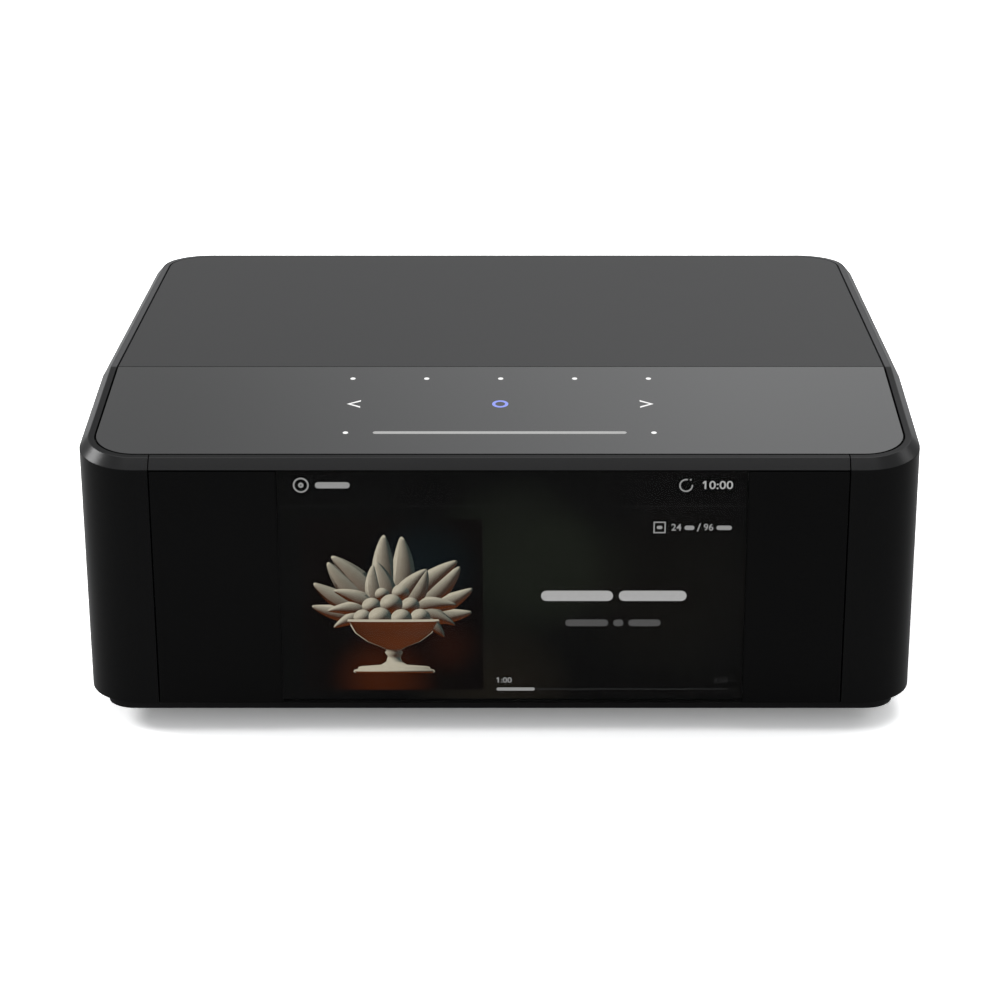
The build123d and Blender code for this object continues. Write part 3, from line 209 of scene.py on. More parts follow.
class Finish(Laid):
    """One material while its nodes are laid."""

    def __init__(self, name):
        self.material = bpy.data.materials.new(name)
        self.material.use_nodes = True
        super().__init__(self.material.node_tree)
        self.shader = self.tree.nodes["Principled BSDF"]
        self.place = self.node("ShaderNodeTexCoord", {}, {}, "Object")

    def set(self, **values):
        """Set the shader's own sockets, their names with underscores."""
        for key, value in values.items():
            self.feed(self.shader.inputs[key.replace("_", " ")], value)
        return self

    def noise(self, scale, detail=2.0, roughness=0.5, stretch=(1, 1, 1)):
        """Noise of so many features to a metre, between 0 and 1."""
        place = self.place
        if stretch != (1, 1, 1):
            place = self.node("ShaderNodeMapping", {}, {"Vector": place, "Scale": stretch})
        return self.node(
            "ShaderNodeTexNoise",
            {},
            {"Vector": place, "Scale": scale, "Detail": detail, "Roughness": roughness},
        )

    def mixed(self, factor, first, second):
        """A colour between two."""
        return self.node(
            "ShaderNodeMix", {"data_type": "RGBA"}, {0: factor, 6: first, 7: second}, 2
        )

    def axis(self, name):
        """One coordinate of the place, in metres."""
        return self.node("ShaderNodeSeparateXYZ", {}, {0: self.place}, name)

    def striped(self, name, pitch):
        """Soft stripes across one axis, so many metres from one to the next."""
        wave = (self.axis(name) * (math.tau / pitch)).sine()
        return (wave * 2.0 + 0.5).clamped()

    def cells(self, scale):
        """Cells of so many to a metre, each with a number of its own."""
        inputs = {"Vector": self.place, "Scale": scale}
        colour = self.node("ShaderNodeTexVoronoi", {}, inputs, "Color")
        return self.node("ShaderNodeSeparateColor", {}, {0: colour}, 0)

    def bumped(self, height, depth):
        """Relief from a height between 0 and 1, so many micrometres deep."""
        inputs = {"Height": height, "Distance": depth * MICRON, "Strength": 1.0}
        self.set(Normal=self.node("ShaderNodeBump", {}, inputs))
        return self


def scaled(colour, amount):
    """A colour times a number."""
    return tuple(part * amount for part in colour)


def apart(across, along):
    """How far apart two places are, from their distances across and along."""
    return (across * across + along * along) ** 0.5


# ---- finishes


def grained(name, colour, rough, metal, grain, depth, level=0.5):
    """A surface with fine relief, clouded colour and uneven gloss."""
    finish = Finish(name)
    clouds = finish.noise(40.0, 3.0)
    fine = finish.noise(grain, 2.0)
    tone = finish.mixed(clouds, scaled(colour, 0.85), scaled(colour, 1.15))
    finish.set(
        Base_Color=tone,
        Roughness=(rough + (clouds - 0.5) * 0.03 + (fine - 0.5) * 0.1).clamped(),
        Metallic=metal,
        Specular_IOR_Level=level,
    )
    return finish.bumped(fine, depth)


def plain_finishes(colours):
    """Finishes that differ only in these: colour, roughness, metal, grains to a metre, their depth
    in micrometres and, where it isn't the usual one, the level of gloss."""
    rows = {
        "deck_finish": (tuple(colours.deck), 0.4, 0.0, 6000.0, 3.0, 0.36),
        "base_moulding": ((0.006, 0.006, 0.0062), 0.55, 0.0, 3000.0, 10.0, 0.08),
        "panel_finish": (tuple(colours.back), 0.5, 0.0, 4000.0, 6.0),
        "screw_steel": ((0.2, 0.2, 0.2), 0.35, 1.0, 4000.0, 5.0),
        "pressed_steel": ((0.56, 0.56, 0.55), 0.3, 1.0, 2500.0, 5.0),
        "black_tape": ((0.015, 0.015, 0.015), 0.7, 0.0, 2500.0, 10.0),
        "display_glass": ((0.004, 0.004, 0.005), 0.1, 0.0, 2500.0, 1.0),
        "sensor_film": ((0.5, 0.45, 0.35), 0.2, 0.0, 1500.0, 2.0),
        "black_moulding": ((0.018, 0.018, 0.018), 0.5, 0.0, 2500.0, 12.0),
        "white_diffuser": ((0.8, 0.8, 0.78), 0.4, 0.0, 2500.0, 6.0),
        "white_moulding": ((0.72, 0.7, 0.62), 0.45, 0.0, 2500.0, 10.0),
        "chip_moulding": ((0.02, 0.02, 0.02), 0.5, 0.0, 4500.0, 8.0),
        "antenna_film": ((0.45, 0.25, 0.08), 0.3, 0.6, 1500.0, 4.0),
        "lead_jacket": ((0.02, 0.02, 0.02), 0.5, 0.0, 3000.0, 6.0),
        "film_case": ((0.42, 0.05, 0.03), 0.3, 0.0, 2500.0, 4.0),
        "clear_sheet": ((0.6, 0.6, 0.58), 0.2, 0.0, 1500.0, 4.0),
        "ferrite": ((0.05, 0.05, 0.055), 0.5, 0.0, 3000.0, 10.0),
        "can_sleeve": ((0.02, 0.03, 0.09), 0.3, 0.0, 2000.0, 4.0),
        "fuse_glass": ((0.6, 0.62, 0.6), 0.1, 0.0, 2000.0, 2.0),
        "plated_brass": ((0.62, 0.6, 0.55), 0.25, 1.0, 2500.0, 3.0),
        "gilt_contact": ((0.75, 0.5, 0.18), 0.22, 1.0, 2500.0, 3.0),
        "shutter_moulding": ((0.02, 0.02, 0.02), 0.45, 0.0, 2500.0, 8.0),
        "button_moulding": ((0.02, 0.02, 0.02), 0.45, 0.0, 2500.0, 8.0),
    }
    return {slot: grained(slot, *values).material for slot, values in rows.items()}


def casing_metal(colour):
    """Satin black metal: dark walls, a brighter bevel and the flat land round the top panels, with
    painted light: the bevel is lighter partly by its finish and partly painted, with a painted
    highlight on its long sides, and the land carries painted shade in front of the fold.
    """
    finish = Finish("casing_metal")
    x, y = abs(finish.axis("X")), finish.axis("Y")

    # Masks, each with the width in mm over which it fades: all above the bevel's lower edge, the
    # bevel, the sloping front part and the two long sides, where the bevel gets a painted
    # highlight
    leant = y.most(CORNER_Y) + (y - CORNER_Y).least(0.0) * RIM_SHRINK
    edge = DECK_TOP - RIM_DROP - (FOLD_Y - leant).most(0.0) * math.tan(SLOPE)
    rim = ((finish.axis("Z") - edge) / (0.1 * MM)).clamped()
    across = (x - CORNER_X).most(0.0)
    along = (abs(y - MIDDLE_Y) + (CORNER_Y - MIDDLE_Y)).most(0.0)
    bevel = ((apart(across, along) - LAND_RADIUS) / (0.08 * MM)).clamped()
    slope = ((FOLD_Y - y) / (0.2 * MM)).clamped()
    side = ((x - 104.0 * MM) / (4.0 * MM)).clamped()
    # The long sides' bevel, painted brighter as a painted highlight
    flank_highlight = side * ((y - CORNER_Y) / (8.0 * MM) + 0.3).clamped()

    cloud = finish.noise(30.0, 3.0)
    fine = finish.noise(5000.0)
    wall = finish.mixed(cloud, scaled(colour, 0.95), scaled(colour, 1.25))
    # The bevel's colour: lighter than the walls partly by its own finish and partly as painted
    # light, brightest on the long sides as a painted highlight
    cut = finish.mixed(flank_highlight, scaled(colour, 3.6), scaled(colour, 15.0))
    # The land's colour: painted light behind the fold and painted shade on the slope in front of
    # it
    land = finish.mixed(slope, scaled(colour, 15.0), scaled(colour, 1.6))
    finish.set(
        Base_Color=finish.mixed(rim, wall, finish.mixed(bevel, land, cut)),
        Roughness=0.28 + fine * 0.06 + cloud * 0.02,
        Specular_IOR_Level=0.05,
        Coat_Weight=rim * (1.0 - (1.0 - bevel) * slope * 0.7) * (0.25 - flank_highlight * 0.15),
        Coat_Roughness=0.25,
    )
    return finish.bumped(fine, 2.0).material


def foot_rubber():
    """Dull black rubber with moulded rings round each foot's middle."""
    finish = Finish("foot_rubber")
    across = abs(finish.axis("X")) - FOOT_X
    along = abs(finish.axis("Y") - MIDDLE_Y) - FOOT_Y
    pitch = 1.6 * MM
    ribs = (apart(across, along) * (math.tau / pitch)).sine()
    dust = finish.noise(500.0, 4.0)
    finish.set(
        Base_Color=finish.mixed(dust, (0.02, 0.02, 0.0205), (0.038, 0.038, 0.038)),
        Roughness=0.72 + dust * 0.16,
        Specular_IOR_Level=0.3,
    )
    return finish.bumped(ribs + dust * 0.3, 150.0).material


def zinc_sheet():
    """Zinc-coated sheet with its frosted spangle."""
    finish = Finish("zinc_sheet")
    spangle = finish.cells(110.0)
    fine = finish.noise(1500.0, 3.0)
    finish.set(
        Base_Color=finish.mixed(spangle, (0.42, 0.43, 0.44), (0.62, 0.63, 0.64)),
        Roughness=0.3 + spangle * 0.15 + fine * 0.08,
        Metallic=1.0,
    )
    return finish.bumped(fine, 5.0).material


def board_laminate():
    """Green lacquered laminate with copper runs showing through."""
    finish = Finish("board_laminate")
    runs = finish.striped("X", 1.3 * MM) * finish.striped("Y", 9.0 * MM)
    blocks = finish.cells(90.0)
    weave = finish.noise(2500.0)
    traced = (runs * blocks * 1.6).clamped()
    finish.set(
        Base_Color=finish.mixed(traced, (0.009, 0.05, 0.025), (0.03, 0.13, 0.05)),
        Roughness=0.28 + weave * 0.12,
    )
    return finish.bumped(runs + weave * 0.3, 10.0).material


def banded(name, ground, line, axis, pitch):
    """A film or wrapping with lines across it."""
    finish = Finish(name)
    lines = finish.striped(axis, pitch * MM)
    fine = finish.noise(1500.0, 3.0)
    finish.set(
        Base_Color=finish.mixed(lines * (0.7 + fine * 0.3), ground, line),
        Roughness=0.25 + fine * 0.15,
    )
    return finish.bumped(lines, 10.0).material


def black_aluminium():
    """Black anodised aluminium, drawn along its length."""
    finish = Finish("black_aluminium")
    drawn = finish.noise(300.0, 4.0, 0.6, (1.0, 1.0, 14.0))
    finish.set(
        Base_Color=finish.mixed(drawn, (0.014, 0.014, 0.016), (0.03, 0.03, 0.033)),
        Roughness=0.32 + drawn * 0.15,
        Metallic=0.3,
    )
    return finish.bumped(drawn, 10.0).material


def jack_colours():
    """White insulators in the upper jacks and red ones in the lower."""
    finish = Finish("jack_colours")
    between_rows = 34.0 * MM
    upper = (finish.axis("Z") > between_rows) * 1.0
    fine = finish.noise(2500.0)
    colour = finish.mixed(upper, (0.5, 0.012, 0.01), (0.7, 0.69, 0.66))
    finish.set(
        Base_Color=finish.mixed(fine * 0.2, colour, (0.3, 0.28, 0.26)),
        Roughness=0.32 + fine * 0.12,
    )
    return finish.bumped(fine, 5.0).material


def smoked_glass():
    """Black-backed glass whose window lets the display through."""
    finish = Finish("smoked_glass")
    across = abs(finish.axis("X") - WINDOW_X)
    window = (across < WINDOW_HALF) * 0.5
    smear = finish.noise(25.0, 3.0)
    finish.set(
        Base_Color=finish.mixed(smear, (0.002, 0.002, 0.0021), (0.003, 0.003, 0.003)),
        Roughness=0.03 + smear * 0.03,
        Specular_IOR_Level=0.045,
        Alpha=1.0 - window,
    )
    return finish.material


def touch_glass(colour):
    """Glossy black top glass."""
    finish = Finish("touch_glass")
    smear = finish.noise(18.0, 3.0)
    finish.set(
        Base_Color=finish.mixed(smear, scaled(colour, 0.85), scaled(colour, 1.15)),
        Roughness=0.12 + smear * 0.06,
        Specular_IOR_Level=0.5,
    )
    return finish.material


# The display stands behind smoked glass that lets half through
DISPLAY_STRENGTH = 2.0


def glowing(name, colour, strength=1.0):
    """A lit mark, a little uneven as lit ink is."""
    finish = Finish(name)
    cloud = finish.noise(900.0, 2.0)
    finish.set(
        Base_Color=(0.02, 0.02, 0.02),
        Roughness=0.4,
        Specular_IOR_Level=0.1,
        Emission_Color=finish.mixed(cloud, scaled(colour, 0.94), scaled(colour, 1.06)),
        Emission_Strength=strength,
    )
    return finish.material


def pool(finish, x, z, reach, sharp=1.0):
    """One soft round pool of light about a place on the display, in mm."""
    across = (finish.axis("X") - x * MM) / (reach * MM)
    up = (finish.axis("Z") - z * MM) / (reach * MM)
    return (1.0 - (across * across + up * up)).clamped() ** sharp


def lit(finish, colour):
    """Make a surface shine with a colour of its own and little else."""
    finish.set(
        Base_Color=(0.004, 0.004, 0.004),
        Roughness=0.5,
        Specular_IOR_Level=0.0,
        Emission_Color=colour,
        Emission_Strength=DISPLAY_STRENGTH,
    )
    return finish.material


def screen_field():
    """Near black ground of the display, with faint green and brown clouds."""
    finish = Finish("screen_field")
    cloud = finish.noise(26.0, 1.0)
    green = (pool(finish, 4.0, 48.0, 24.0) + pool(finish, 20.0, 46.0, 17.0) * 0.6).clamped()
    brown = (pool(finish, -2.0, 11.0, 22.0) + pool(finish, 45.0, 40.0, 26.0) * 0.3).clamped()
    colour = finish.mixed(cloud, (0.0028, 0.0028, 0.0028), (0.0046, 0.0046, 0.0043))
    colour = finish.mixed(green * (0.5 + cloud * 0.5), colour, (0.0165, 0.02, 0.0135))
    colour = finish.mixed(brown * (0.5 + cloud * 0.5), colour, (0.0185, 0.0155, 0.0105))
    return lit(finish, colour)


def picture_ground():
    """Warm black ground of the picture, with a blue haze and a red glow low down."""
    finish = Finish("picture_ground")
    cloud = finish.noise(60.0, 3.0)
    haze = pool(finish, -20.0, 45.0, 17.0, 1.5) * (0.4 + cloud * 0.8)
    glow = pool(finish, -31.0, 14.0, 16.0, 2.0) * (0.4 + cloud)
    ember = pool(finish, -13.0, 24.0, 10.0, 2.0) * cloud
    colour = finish.mixed(cloud, (0.0026, 0.0017, 0.0015), (0.0052, 0.0036, 0.0032))
    colour = finish.mixed(haze.clamped(), colour, (0.006, 0.014, 0.017))
    colour = finish.mixed(glow.clamped(), colour, (0.075, 0.016, 0.004))
    colour = finish.mixed(ember.clamped(), colour, (0.045, 0.01, 0.004))
    return lit(finish, colour)


def picture_relief():
    """Pale stone lit from the upper left, with warm light from below."""
    finish = Finish("picture_relief")
    normal = finish.node("ShaderNodeNewGeometry", {}, {}, "Normal")
    full = finish.node(
        "ShaderNodeVectorMath", {"operation": "MULTIPLY"}, {0: normal, 1: (1.0, FLATTENED, 1.0)}
    )
    full = finish.node("ShaderNodeVectorMath", {"operation": "NORMALIZE"}, {0: full})

    def facing(direction):
        unit = Vector(direction).normalized()
        return finish.node(
            "ShaderNodeVectorMath", {"operation": "DOT_PRODUCT"}, {0: full, 1: unit}, "Value"
        ).clamped()

    stain = finish.noise(700.0, 3.0)
    key = (facing((-0.6, -0.3, 0.75)) * 1.5 - 0.12).clamped()
    cool = facing((0.8, -0.5, 0.3)) ** 2.0
    warm = facing((0.1, -0.35, -1.0)) ** 1.5
    cream = finish.mixed(stain, (0.78, 0.7, 0.52), (0.98, 0.9, 0.72))
    colour = finish.mixed(key, (0.01, 0.007, 0.005), cream)
    colour = finish.mixed(cool * 0.35, colour, (0.2, 0.27, 0.24))
    colour = finish.mixed(warm * 0.5, colour, (0.3, 0.075, 0.02))
    return lit(finish, colour)


def all_finishes(colours):
    """Every slot's material and the lit ones."""
    made = plain_finishes(colours)
    made["casing_metal"] = casing_metal(tuple(colours.casing))
    for make in (
        foot_rubber, zinc_sheet, board_laminate, black_aluminium, jack_colours, smoked_glass,
        screen_field, picture_ground, picture_relief,
    ):
        made[make.__name__] = make()
    for name, ground, line, axis, pitch in (
        ("ribbon_film", (0.3, 0.13, 0.03), (0.5, 0.26, 0.08), "X", 1.0),
        ("winding_tape", (0.45, 0.3, 0.03), (0.66, 0.5, 0.07), "Z", 3.0),
    ):
        made[name] = banded(name, ground, line, axis, pitch)
    made["touch_glass"] = touch_glass(tuple(colours.touch))
    white = tuple(colours.marks)
    made["mark_light"] = glowing("mark_light", white)
    made["slider_light"] = glowing("slider_light", scaled(white, 0.43))
    made["ring_light"] = glowing("ring_light", tuple(colours.ring))
    for name, level in (
        ("screen_white", 0.76), ("screen_pale", 0.56), ("screen_grey", 0.15),
        ("screen_faint", 0.032),
    ):
        made[name] = glowing(name, scaled(white, level), DISPLAY_STRENGTH)
    return made


finishes = {}


def placed(name, data, place, turn=(0.0, 0.0, 0.0)):
    """Put a floor, lamp or camera in the scene."""
    holder = bpy.data.objects.new(name, data)
    holder.location = place
    holder.rotation_euler = turn
    bpy.context.scene.collection.objects.link(holder)
    return holder


def floor_paper():
    """Pale paper that the camera sees as white, with the object's shadow kept."""
    finish = Finish("floor_paper")
    seen, gloss, clear = (
        finish.node("ShaderNodeLightPath", {}, {}, f"Is {way} Ray")
        for way in ("Camera", "Glossy", "Transmission")
    )
    white = 0.78 + clear * 0.2 - gloss * 0.25 + seen * 0.8
    glow = seen * 0.17
    finish.set(
        Base_Color=finish.node("ShaderNodeCombineColor", {}, {0: white, 1: white, 2: white}),
        Roughness=0.9,
        Specular_IOR_Level=0.0,
        Emission_Color=finish.node("ShaderNodeCombineColor", {}, {0: glow, 1: glow, 2: glow}),
        Emission_Strength=1.0,
    )
    return finish.material


def room_light():
    """Soft grey room, a little brighter low in front, with a bright wall high at the back."""
    world = bpy.data.worlds.new("room")
    world.use_nodes = True
    tree = world.node_tree
    room = Laid(tree)
    place = room.node("ShaderNodeTexCoord", {}, {}, "Generated")
    across, back, up = (
        room.node("ShaderNodeSeparateXYZ", {}, {0: place}, name) for name in "XYZ"
    )
    fade = ((across / back.most(0.05) + 0.16) / 0.26).clamped()
    wall = ((up - 0.4) / 0.1).clamped() * ((back - 0.1) / 0.3).clamped()
    front = ((0.0 - back) / 0.3).clamped() * ((0.75 - up) / 0.2).clamped()
    seen = room.node("ShaderNodeLightPath", {}, {}, "Is Camera Ray")
    strength = 0.42 + wall * (0.3 + fade * 0.8) + front * 0.4 + seen
    sky = tree.nodes["Background"]
    room.feed(sky.inputs["Color"], (0.98, 0.99, 1.0))
    room.feed(sky.inputs["Strength"], strength)
    return world


# ---- mesh helpers


def piece(name, mesh, body, slot, finish=None, stands_for=()):
    """Place a finished mesh as a piece of the object."""
    made = bpy.data.objects.new(name, mesh)
    bpy.context.scene.collection.objects.link(made)
    mesh.materials.clear()
    mesh.materials.append(finishes[finish or slot])
    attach(made, body)
    if stands_for:
        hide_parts(*stands_for)
    return made


def as_mesh(name, bm):
    """Turn a bmesh into a mesh, as it is."""
    mesh = bpy.data.meshes.new(name)
    bm.to_mesh(mesh)
    bm.free()
    return mesh


def meshed(name, bm, smooth_angle=30.0):
    """Turn a bmesh into a mesh, smooth except over sharp edges."""
    limit = math.radians(smooth_angle)
    for face in bm.faces:
        face.smooth = True
    for edge in bm.edges:
        edge.smooth = edge.is_manifold and edge.calc_face_angle(0.0) < limit
    return as_mesh(name, bm)


def softened(bm, width, angle, least=-1.0, clamped=False):
    """Round off the edges that turn by more than an angle, between faces past a least area."""
    sharp = [
        edge for edge in bm.edges
        if edge.is_manifold and edge.calc_face_angle(0.0) > math.radians(angle)
        and min(face.calc_area() for face in edge.link_faces) > least
    ]
    bmesh.ops.bevel(
        bm, geom=sharp, offset=width, offset_type="OFFSET", affect="EDGES", segments=2,
        profile=0.5, material=-1, clamp_overlap=clamped,
    )
    return bm


def eased(node, width, least=0.0):
    """Copy a node's solid with its sharp edges rounded off."""
    bm = bmesh.new()
    bm.from_mesh(frame["nodes"][node].data)
    bmesh.ops.remove_doubles(bm, verts=bm.verts, dist=2.0 * MICRON)
    bmesh.ops.dissolve_limit(bm, angle_limit=math.radians(1.0), verts=bm.verts, edges=bm.edges)
    return softened(bm, width, 30.0, least, clamped=True)


def flat_faced(made):
    """Let the broad faces set the shading, so that soft edges stay narrow."""
    facing = made.modifiers.new("facing", "WEIGHTED_NORMAL")
    facing.keep_sharp = True
    facing.weight = 100


def ease_node(node, body, slot, width, least=0.0):
    """Replace a node by a copy of itself with soft edges."""
    mesh = meshed(node + "_eased", eased(node, width, least))
    flat_faced(piece(node + "_eased", mesh, body, slot, stands_for=(node,)))


def rounded_face(bm, width, depth, middle, z, radius, steps):
    """A level face with round corners."""
    x, y = width / 2.0, depth / 2.0
    corners = ((-x, middle - y), (x, middle - y), (x, middle + y), (-x, middle + y))
    bm.faces.new([bm.verts.new((*corner, z)) for corner in corners])
    bmesh.ops.bevel(
        bm, geom=bm.verts[:], offset=radius, offset_type="OFFSET", affect="VERTICES",
        segments=steps, profile=0.5, material=-1,
    )
    return next(iter(bm.faces))


def pulled(bm, face, rise, closed=False):
    """Extrude one face straight up or down; a closed one leaves its first place covered."""
    made = bmesh.ops.extrude_face_region(bm, geom=[face])["geom"]
    if face.is_valid and not closed:
        bmesh.ops.delete(bm, geom=[face], context="FACES_ONLY")
    moved = [item for item in made if isinstance(item, bmesh.types.BMVert)]
    bmesh.ops.translate(bm, verts=moved, vec=(0.0, 0.0, rise))
    return next(item for item in made if isinstance(item, bmesh.types.BMFace))


def drawn_in(bm, face, width, rise=0.0):
    """Inset one face and lift it; the face itself becomes the inner one."""
    bmesh.ops.inset_region(
        bm, faces=[face], thickness=width, depth=rise, use_even_offset=True, use_boundary=True
    )


def carved(mesh, steps):
    """Join other solids to a solid or cut them from it, in turn."""
    holders = [bpy.data.objects.new("carving", mesh)]
    for operation, tool in steps:
        holders.append(bpy.data.objects.new("tool", as_mesh("tool", turned_out(tool))))
        modifier = holders[0].modifiers.new("carve", "BOOLEAN")
        modifier.operation = operation
        modifier.solver = "EXACT"
        modifier.object = holders[-1]
    for holder in holders:
        bpy.context.scene.collection.objects.link(holder)
    graph = bpy.context.evaluated_depsgraph_get()
    bm = bmesh.new()
    bm.from_mesh(holders[0].evaluated_get(graph).to_mesh())
    for holder in holders:
        used = holder.data
        bpy.data.objects.remove(holder)
        bpy.data.meshes.remove(used)
    bmesh.ops.dissolve_degenerate(bm, dist=MICRON, edges=bm.edges)
    return bm


def shifted(bm, verts, by):
    """Move some vertices by so many mm."""
    bmesh.ops.translate(bm, verts=verts, vec=[part * MM for part in by])


def box_between(bm, low, high):
    """A box given by two corners in mm."""
    made = bmesh.ops.create_cube(bm, size=1.0)["verts"]
    size = [b - a for a, b in zip(low, high)]
    middle = [(a + b) / 2.0 for a, b in zip(low, high)]
    bmesh.ops.scale(bm, vec=[part * MM for part in size], verts=made)
    shifted(bm, made, middle)


def round_bar(bm, radius, start, length, along="Z", sides=32):
    """A round bar from its start, in mm, along Z or backwards along Y."""
    made = bmesh.ops.create_cone(
        bm, cap_ends=True, segments=sides, radius1=radius * MM, radius2=radius * MM,
        depth=length * MM,
    )["verts"]
    shifted(bm, made, (0.0, 0.0, length / 2.0))
    if along == "Y":
        turn = Matrix.Rotation(math.radians(-90.0), 3, "X")
        bmesh.ops.rotate(bm, verts=made, cent=(0.0, 0.0, 0.0), matrix=turn)
    shifted(bm, made, start)


def round_plate(bm, half, low, high, radius, front, back):
    """A rounded upright plate in mm, between two depths."""
    flat = bmesh.new()
    face = rounded_face(flat, 2.0 * half * MM, (high - low) * MM, 0.0, 0.0, radius * MM, 8)
    pulled(flat, face, (back - front) * MM, closed=True)
    stand = (
        Matrix.Translation((0.0, front * MM, (low + high) / 2.0 * MM))
        @ Matrix.Rotation(math.radians(-90.0), 4, "X")
    )
    bmesh.ops.transform(flat, matrix=stand, verts=flat.verts)
    mesh = as_mesh("plate", flat)
    bm.from_mesh(mesh)
    bpy.data.meshes.remove(mesh)


def slab(bm, outline, low, high):
    """A flat plate from a closed outline of (x, z), between two depths in y."""
    face = bm.faces.new([bm.verts.new((x, low, z)) for x, z in outline])
    raised = bmesh.ops.extrude_face_region(bm, geom=[face])["geom"]
    moved = [item for item in raised if isinstance(item, bmesh.types.BMVert)]
    bmesh.ops.translate(bm, verts=moved, vec=(0.0, high - low, 0.0))


def oblong(left, low, right, high):
    """Corners (x, z) of an upright oblong given in mm."""
    return [(x * MM, z * MM) for x, z in ((left, low), (right, low), (right, high), (left, high))]


def bar(bm, left, right, middle, height, low, high, steps=8):
    """A plate with round ends along x."""
    radius = height / 2.0
    outline = []
    for centre, start in ((right - radius, -90.0), (left + radius, 90.0)):
        for step in range(steps + 1):
            turn = math.radians(start + 180.0 * step / steps)
            outline.append((centre + radius * math.cos(turn), middle + radius * math.sin(turn)))
    slab(bm, outline, low, high)


def ring(bm, x, z, radius, width, low, high, start=0.0, sweep=360.0, steps=40):
    """A flat ring, or part of one, facing the front."""
    half = width / 2.0
    section = [
        bm.verts.new((x + radius + out, deep, z))
        for out, deep in ((-half, low), (half, low), (half, high), (-half, high))
    ]
    edges = [bm.edges.new((section[i], section[(i + 1) % 4])) for i in range(4)]
    full = sweep >= 360.0
    geometry = section + edges
    if not full:
        geometry.append(bm.faces.new(section))
    turned = Matrix.Rotation(math.radians(-start), 4, "Y")
    bmesh.ops.rotate(bm, verts=section, cent=(x, 0.0, z), matrix=turned)
    bmesh.ops.spin(
        bm, geom=geometry, cent=(x, 0.0, z), axis=(0.0, -1.0, 0.0), dvec=(0.0, 0.0, 0.0),
        angle=math.radians(sweep), steps=steps, use_merge=full,
    )


def turned_out(bm):
    """Merge what meets and point every face outwards."""
    bmesh.ops.remove_doubles(bm, verts=bm.verts, dist=MICRON)
    bmesh.ops.recalc_face_normals(bm, faces=bm.faces)
    return bm


def lettered(bm, words, left, right, middle, height, low, high):
    """Plain numbers as thin plates facing the front."""
    curve = bpy.data.curves.new("numbers", "FONT")
    curve.body = words
    curve.extrude = 0.5
    curve.offset = 0.012
    curve.resolution_u = 4
    holder = bpy.data.objects.new("numbers", curve)
    mesh = bpy.data.meshes.new_from_object(holder)
    bpy.data.objects.remove(holder)
    bpy.data.curves.remove(curve)
    part = bmesh.new()
    part.from_mesh(mesh)
    bmesh.ops.remove_doubles(part, verts=part.verts, dist=0.0001)
    xs = [vert.co.x for vert in part.verts]
    ys = [vert.co.y for vert in part.verts]
    start, foot, head = min(xs), min(ys), max(ys)
    wide = (right - left) / (max(xs) - start)
    tall = height / (head - foot)
    for vert in part.verts:
        x, y, z = vert.co
        deep = low if z > 0.0 else high
        vert.co = (left + (x - start) * wide, deep, middle + (y - (foot + head) / 2) * tall)
    part.to_mesh(mesh)
    part.free()
    bm.from_mesh(mesh)
    bpy.data.meshes.remove(mesh)


# ---- settings


class StreamerSizes(PropertyGroup):
    """Widths that shape the finished pieces."""

    edge: FloatProperty(
        name="Edge", description="Rounding of a machined edge", default=0.15 * MM,
        unit="LENGTH",
    )
    corner: FloatProperty(
        name="Corner", description="Radius of the casing's upright corners",
        default=15.9 * MM, unit="LENGTH",
    )
    bevel_in: FloatProperty(
        name="Bevel width", description="How far the rim's bevel leans in", default=2.37 * MM,
        unit="LENGTH",
    )
    bevel_down: FloatProperty(
        name="Bevel height", description="How far the rim's bevel drops", default=2.73 * MM,
        unit="LENGTH",
    )
    land: FloatProperty(
        name="Land", description="Width of the flat strip round the top panels",
        default=1.65 * MM, unit="LENGTH",
    )
    mark_height: FloatProperty(
        name="Mark height", description="How far the lit marks stand proud of the glass",
        default=0.02 * MM, unit="LENGTH",
    )


class StreamerColours(PropertyGroup):
    """Colours of the finished pieces."""

    casing: FloatVectorProperty(
        name="Casing", description="Colour of the casing's walls", subtype="COLOR", size=3,
        min=0.0, max=1.0, default=(0.0033, 0.0033, 0.0034),
    )
    deck: FloatVectorProperty(
        name="Deck", description="Colour of the flat rear deck", subtype="COLOR", size=3,
        min=0.0, max=1.0, default=(0.007, 0.007, 0.0072),
    )
    touch: FloatVectorProperty(
        name="Touch panel", description="Colour under the touch panel's gloss",
        subtype="COLOR", size=3, min=0.0, max=1.0, default=(0.0095, 0.0095, 0.0095),
    )
    back: FloatVectorProperty(
        name="Back", description="Colour of the rear panel", subtype="COLOR", size=3, min=0.0,
        max=1.0, default=(0.022, 0.022, 0.023),
    )
    marks: FloatVectorProperty(
        name="Marks", description="Colour of the lit marks and the display's lines",
        subtype="COLOR", size=3, min=0.0, max=1.0, default=(1.0, 1.0, 0.99),
    )
    ring: FloatVectorProperty(
        name="Ring", description="Colour of the lit ring", subtype="COLOR", size=3, min=0.0,
        max=1.0, default=(0.3, 0.36, 0.95),
    )


class StreamerOperator:
    """What the streamer's operators share."""

    bl_options = {"REGISTER", "UNDO"}


class STREAMER_OT_finishes(StreamerOperator, Operator):
    """Make every material"""

    bl_idname = "streamer.finishes"
    bl_label = "Finishes"

    def execute(self, context):
        finishes.update(all_finishes(context.scene.streamer_colours))
        return {"FINISHED"}


# The shell's wall, the ledge under the top panels and their drop below the land
WALL = 2.5 * MM
LEDGE = 3.0 * MM
PANEL_DROP = 2.0 * MM
CORNER_STEPS = 24

# Screws in mm: (x, y) of the bottom's, each in a post, and (x, z) of the back's and front's
POST_PLACES = [(x, y) for x in (-101.0, 101.0) for y in (-87.5, 78.5)]
REAR_SCREWS = [(-90.0, 14.5), (90.0, 14.5), (-90.0, 68.5), (0.0, 68.5), (90.0, 68.5)]
FRONT_SCREWS = [(x, z) for x in (-92.3, 92.3) for z in (16.2, 67.88)]


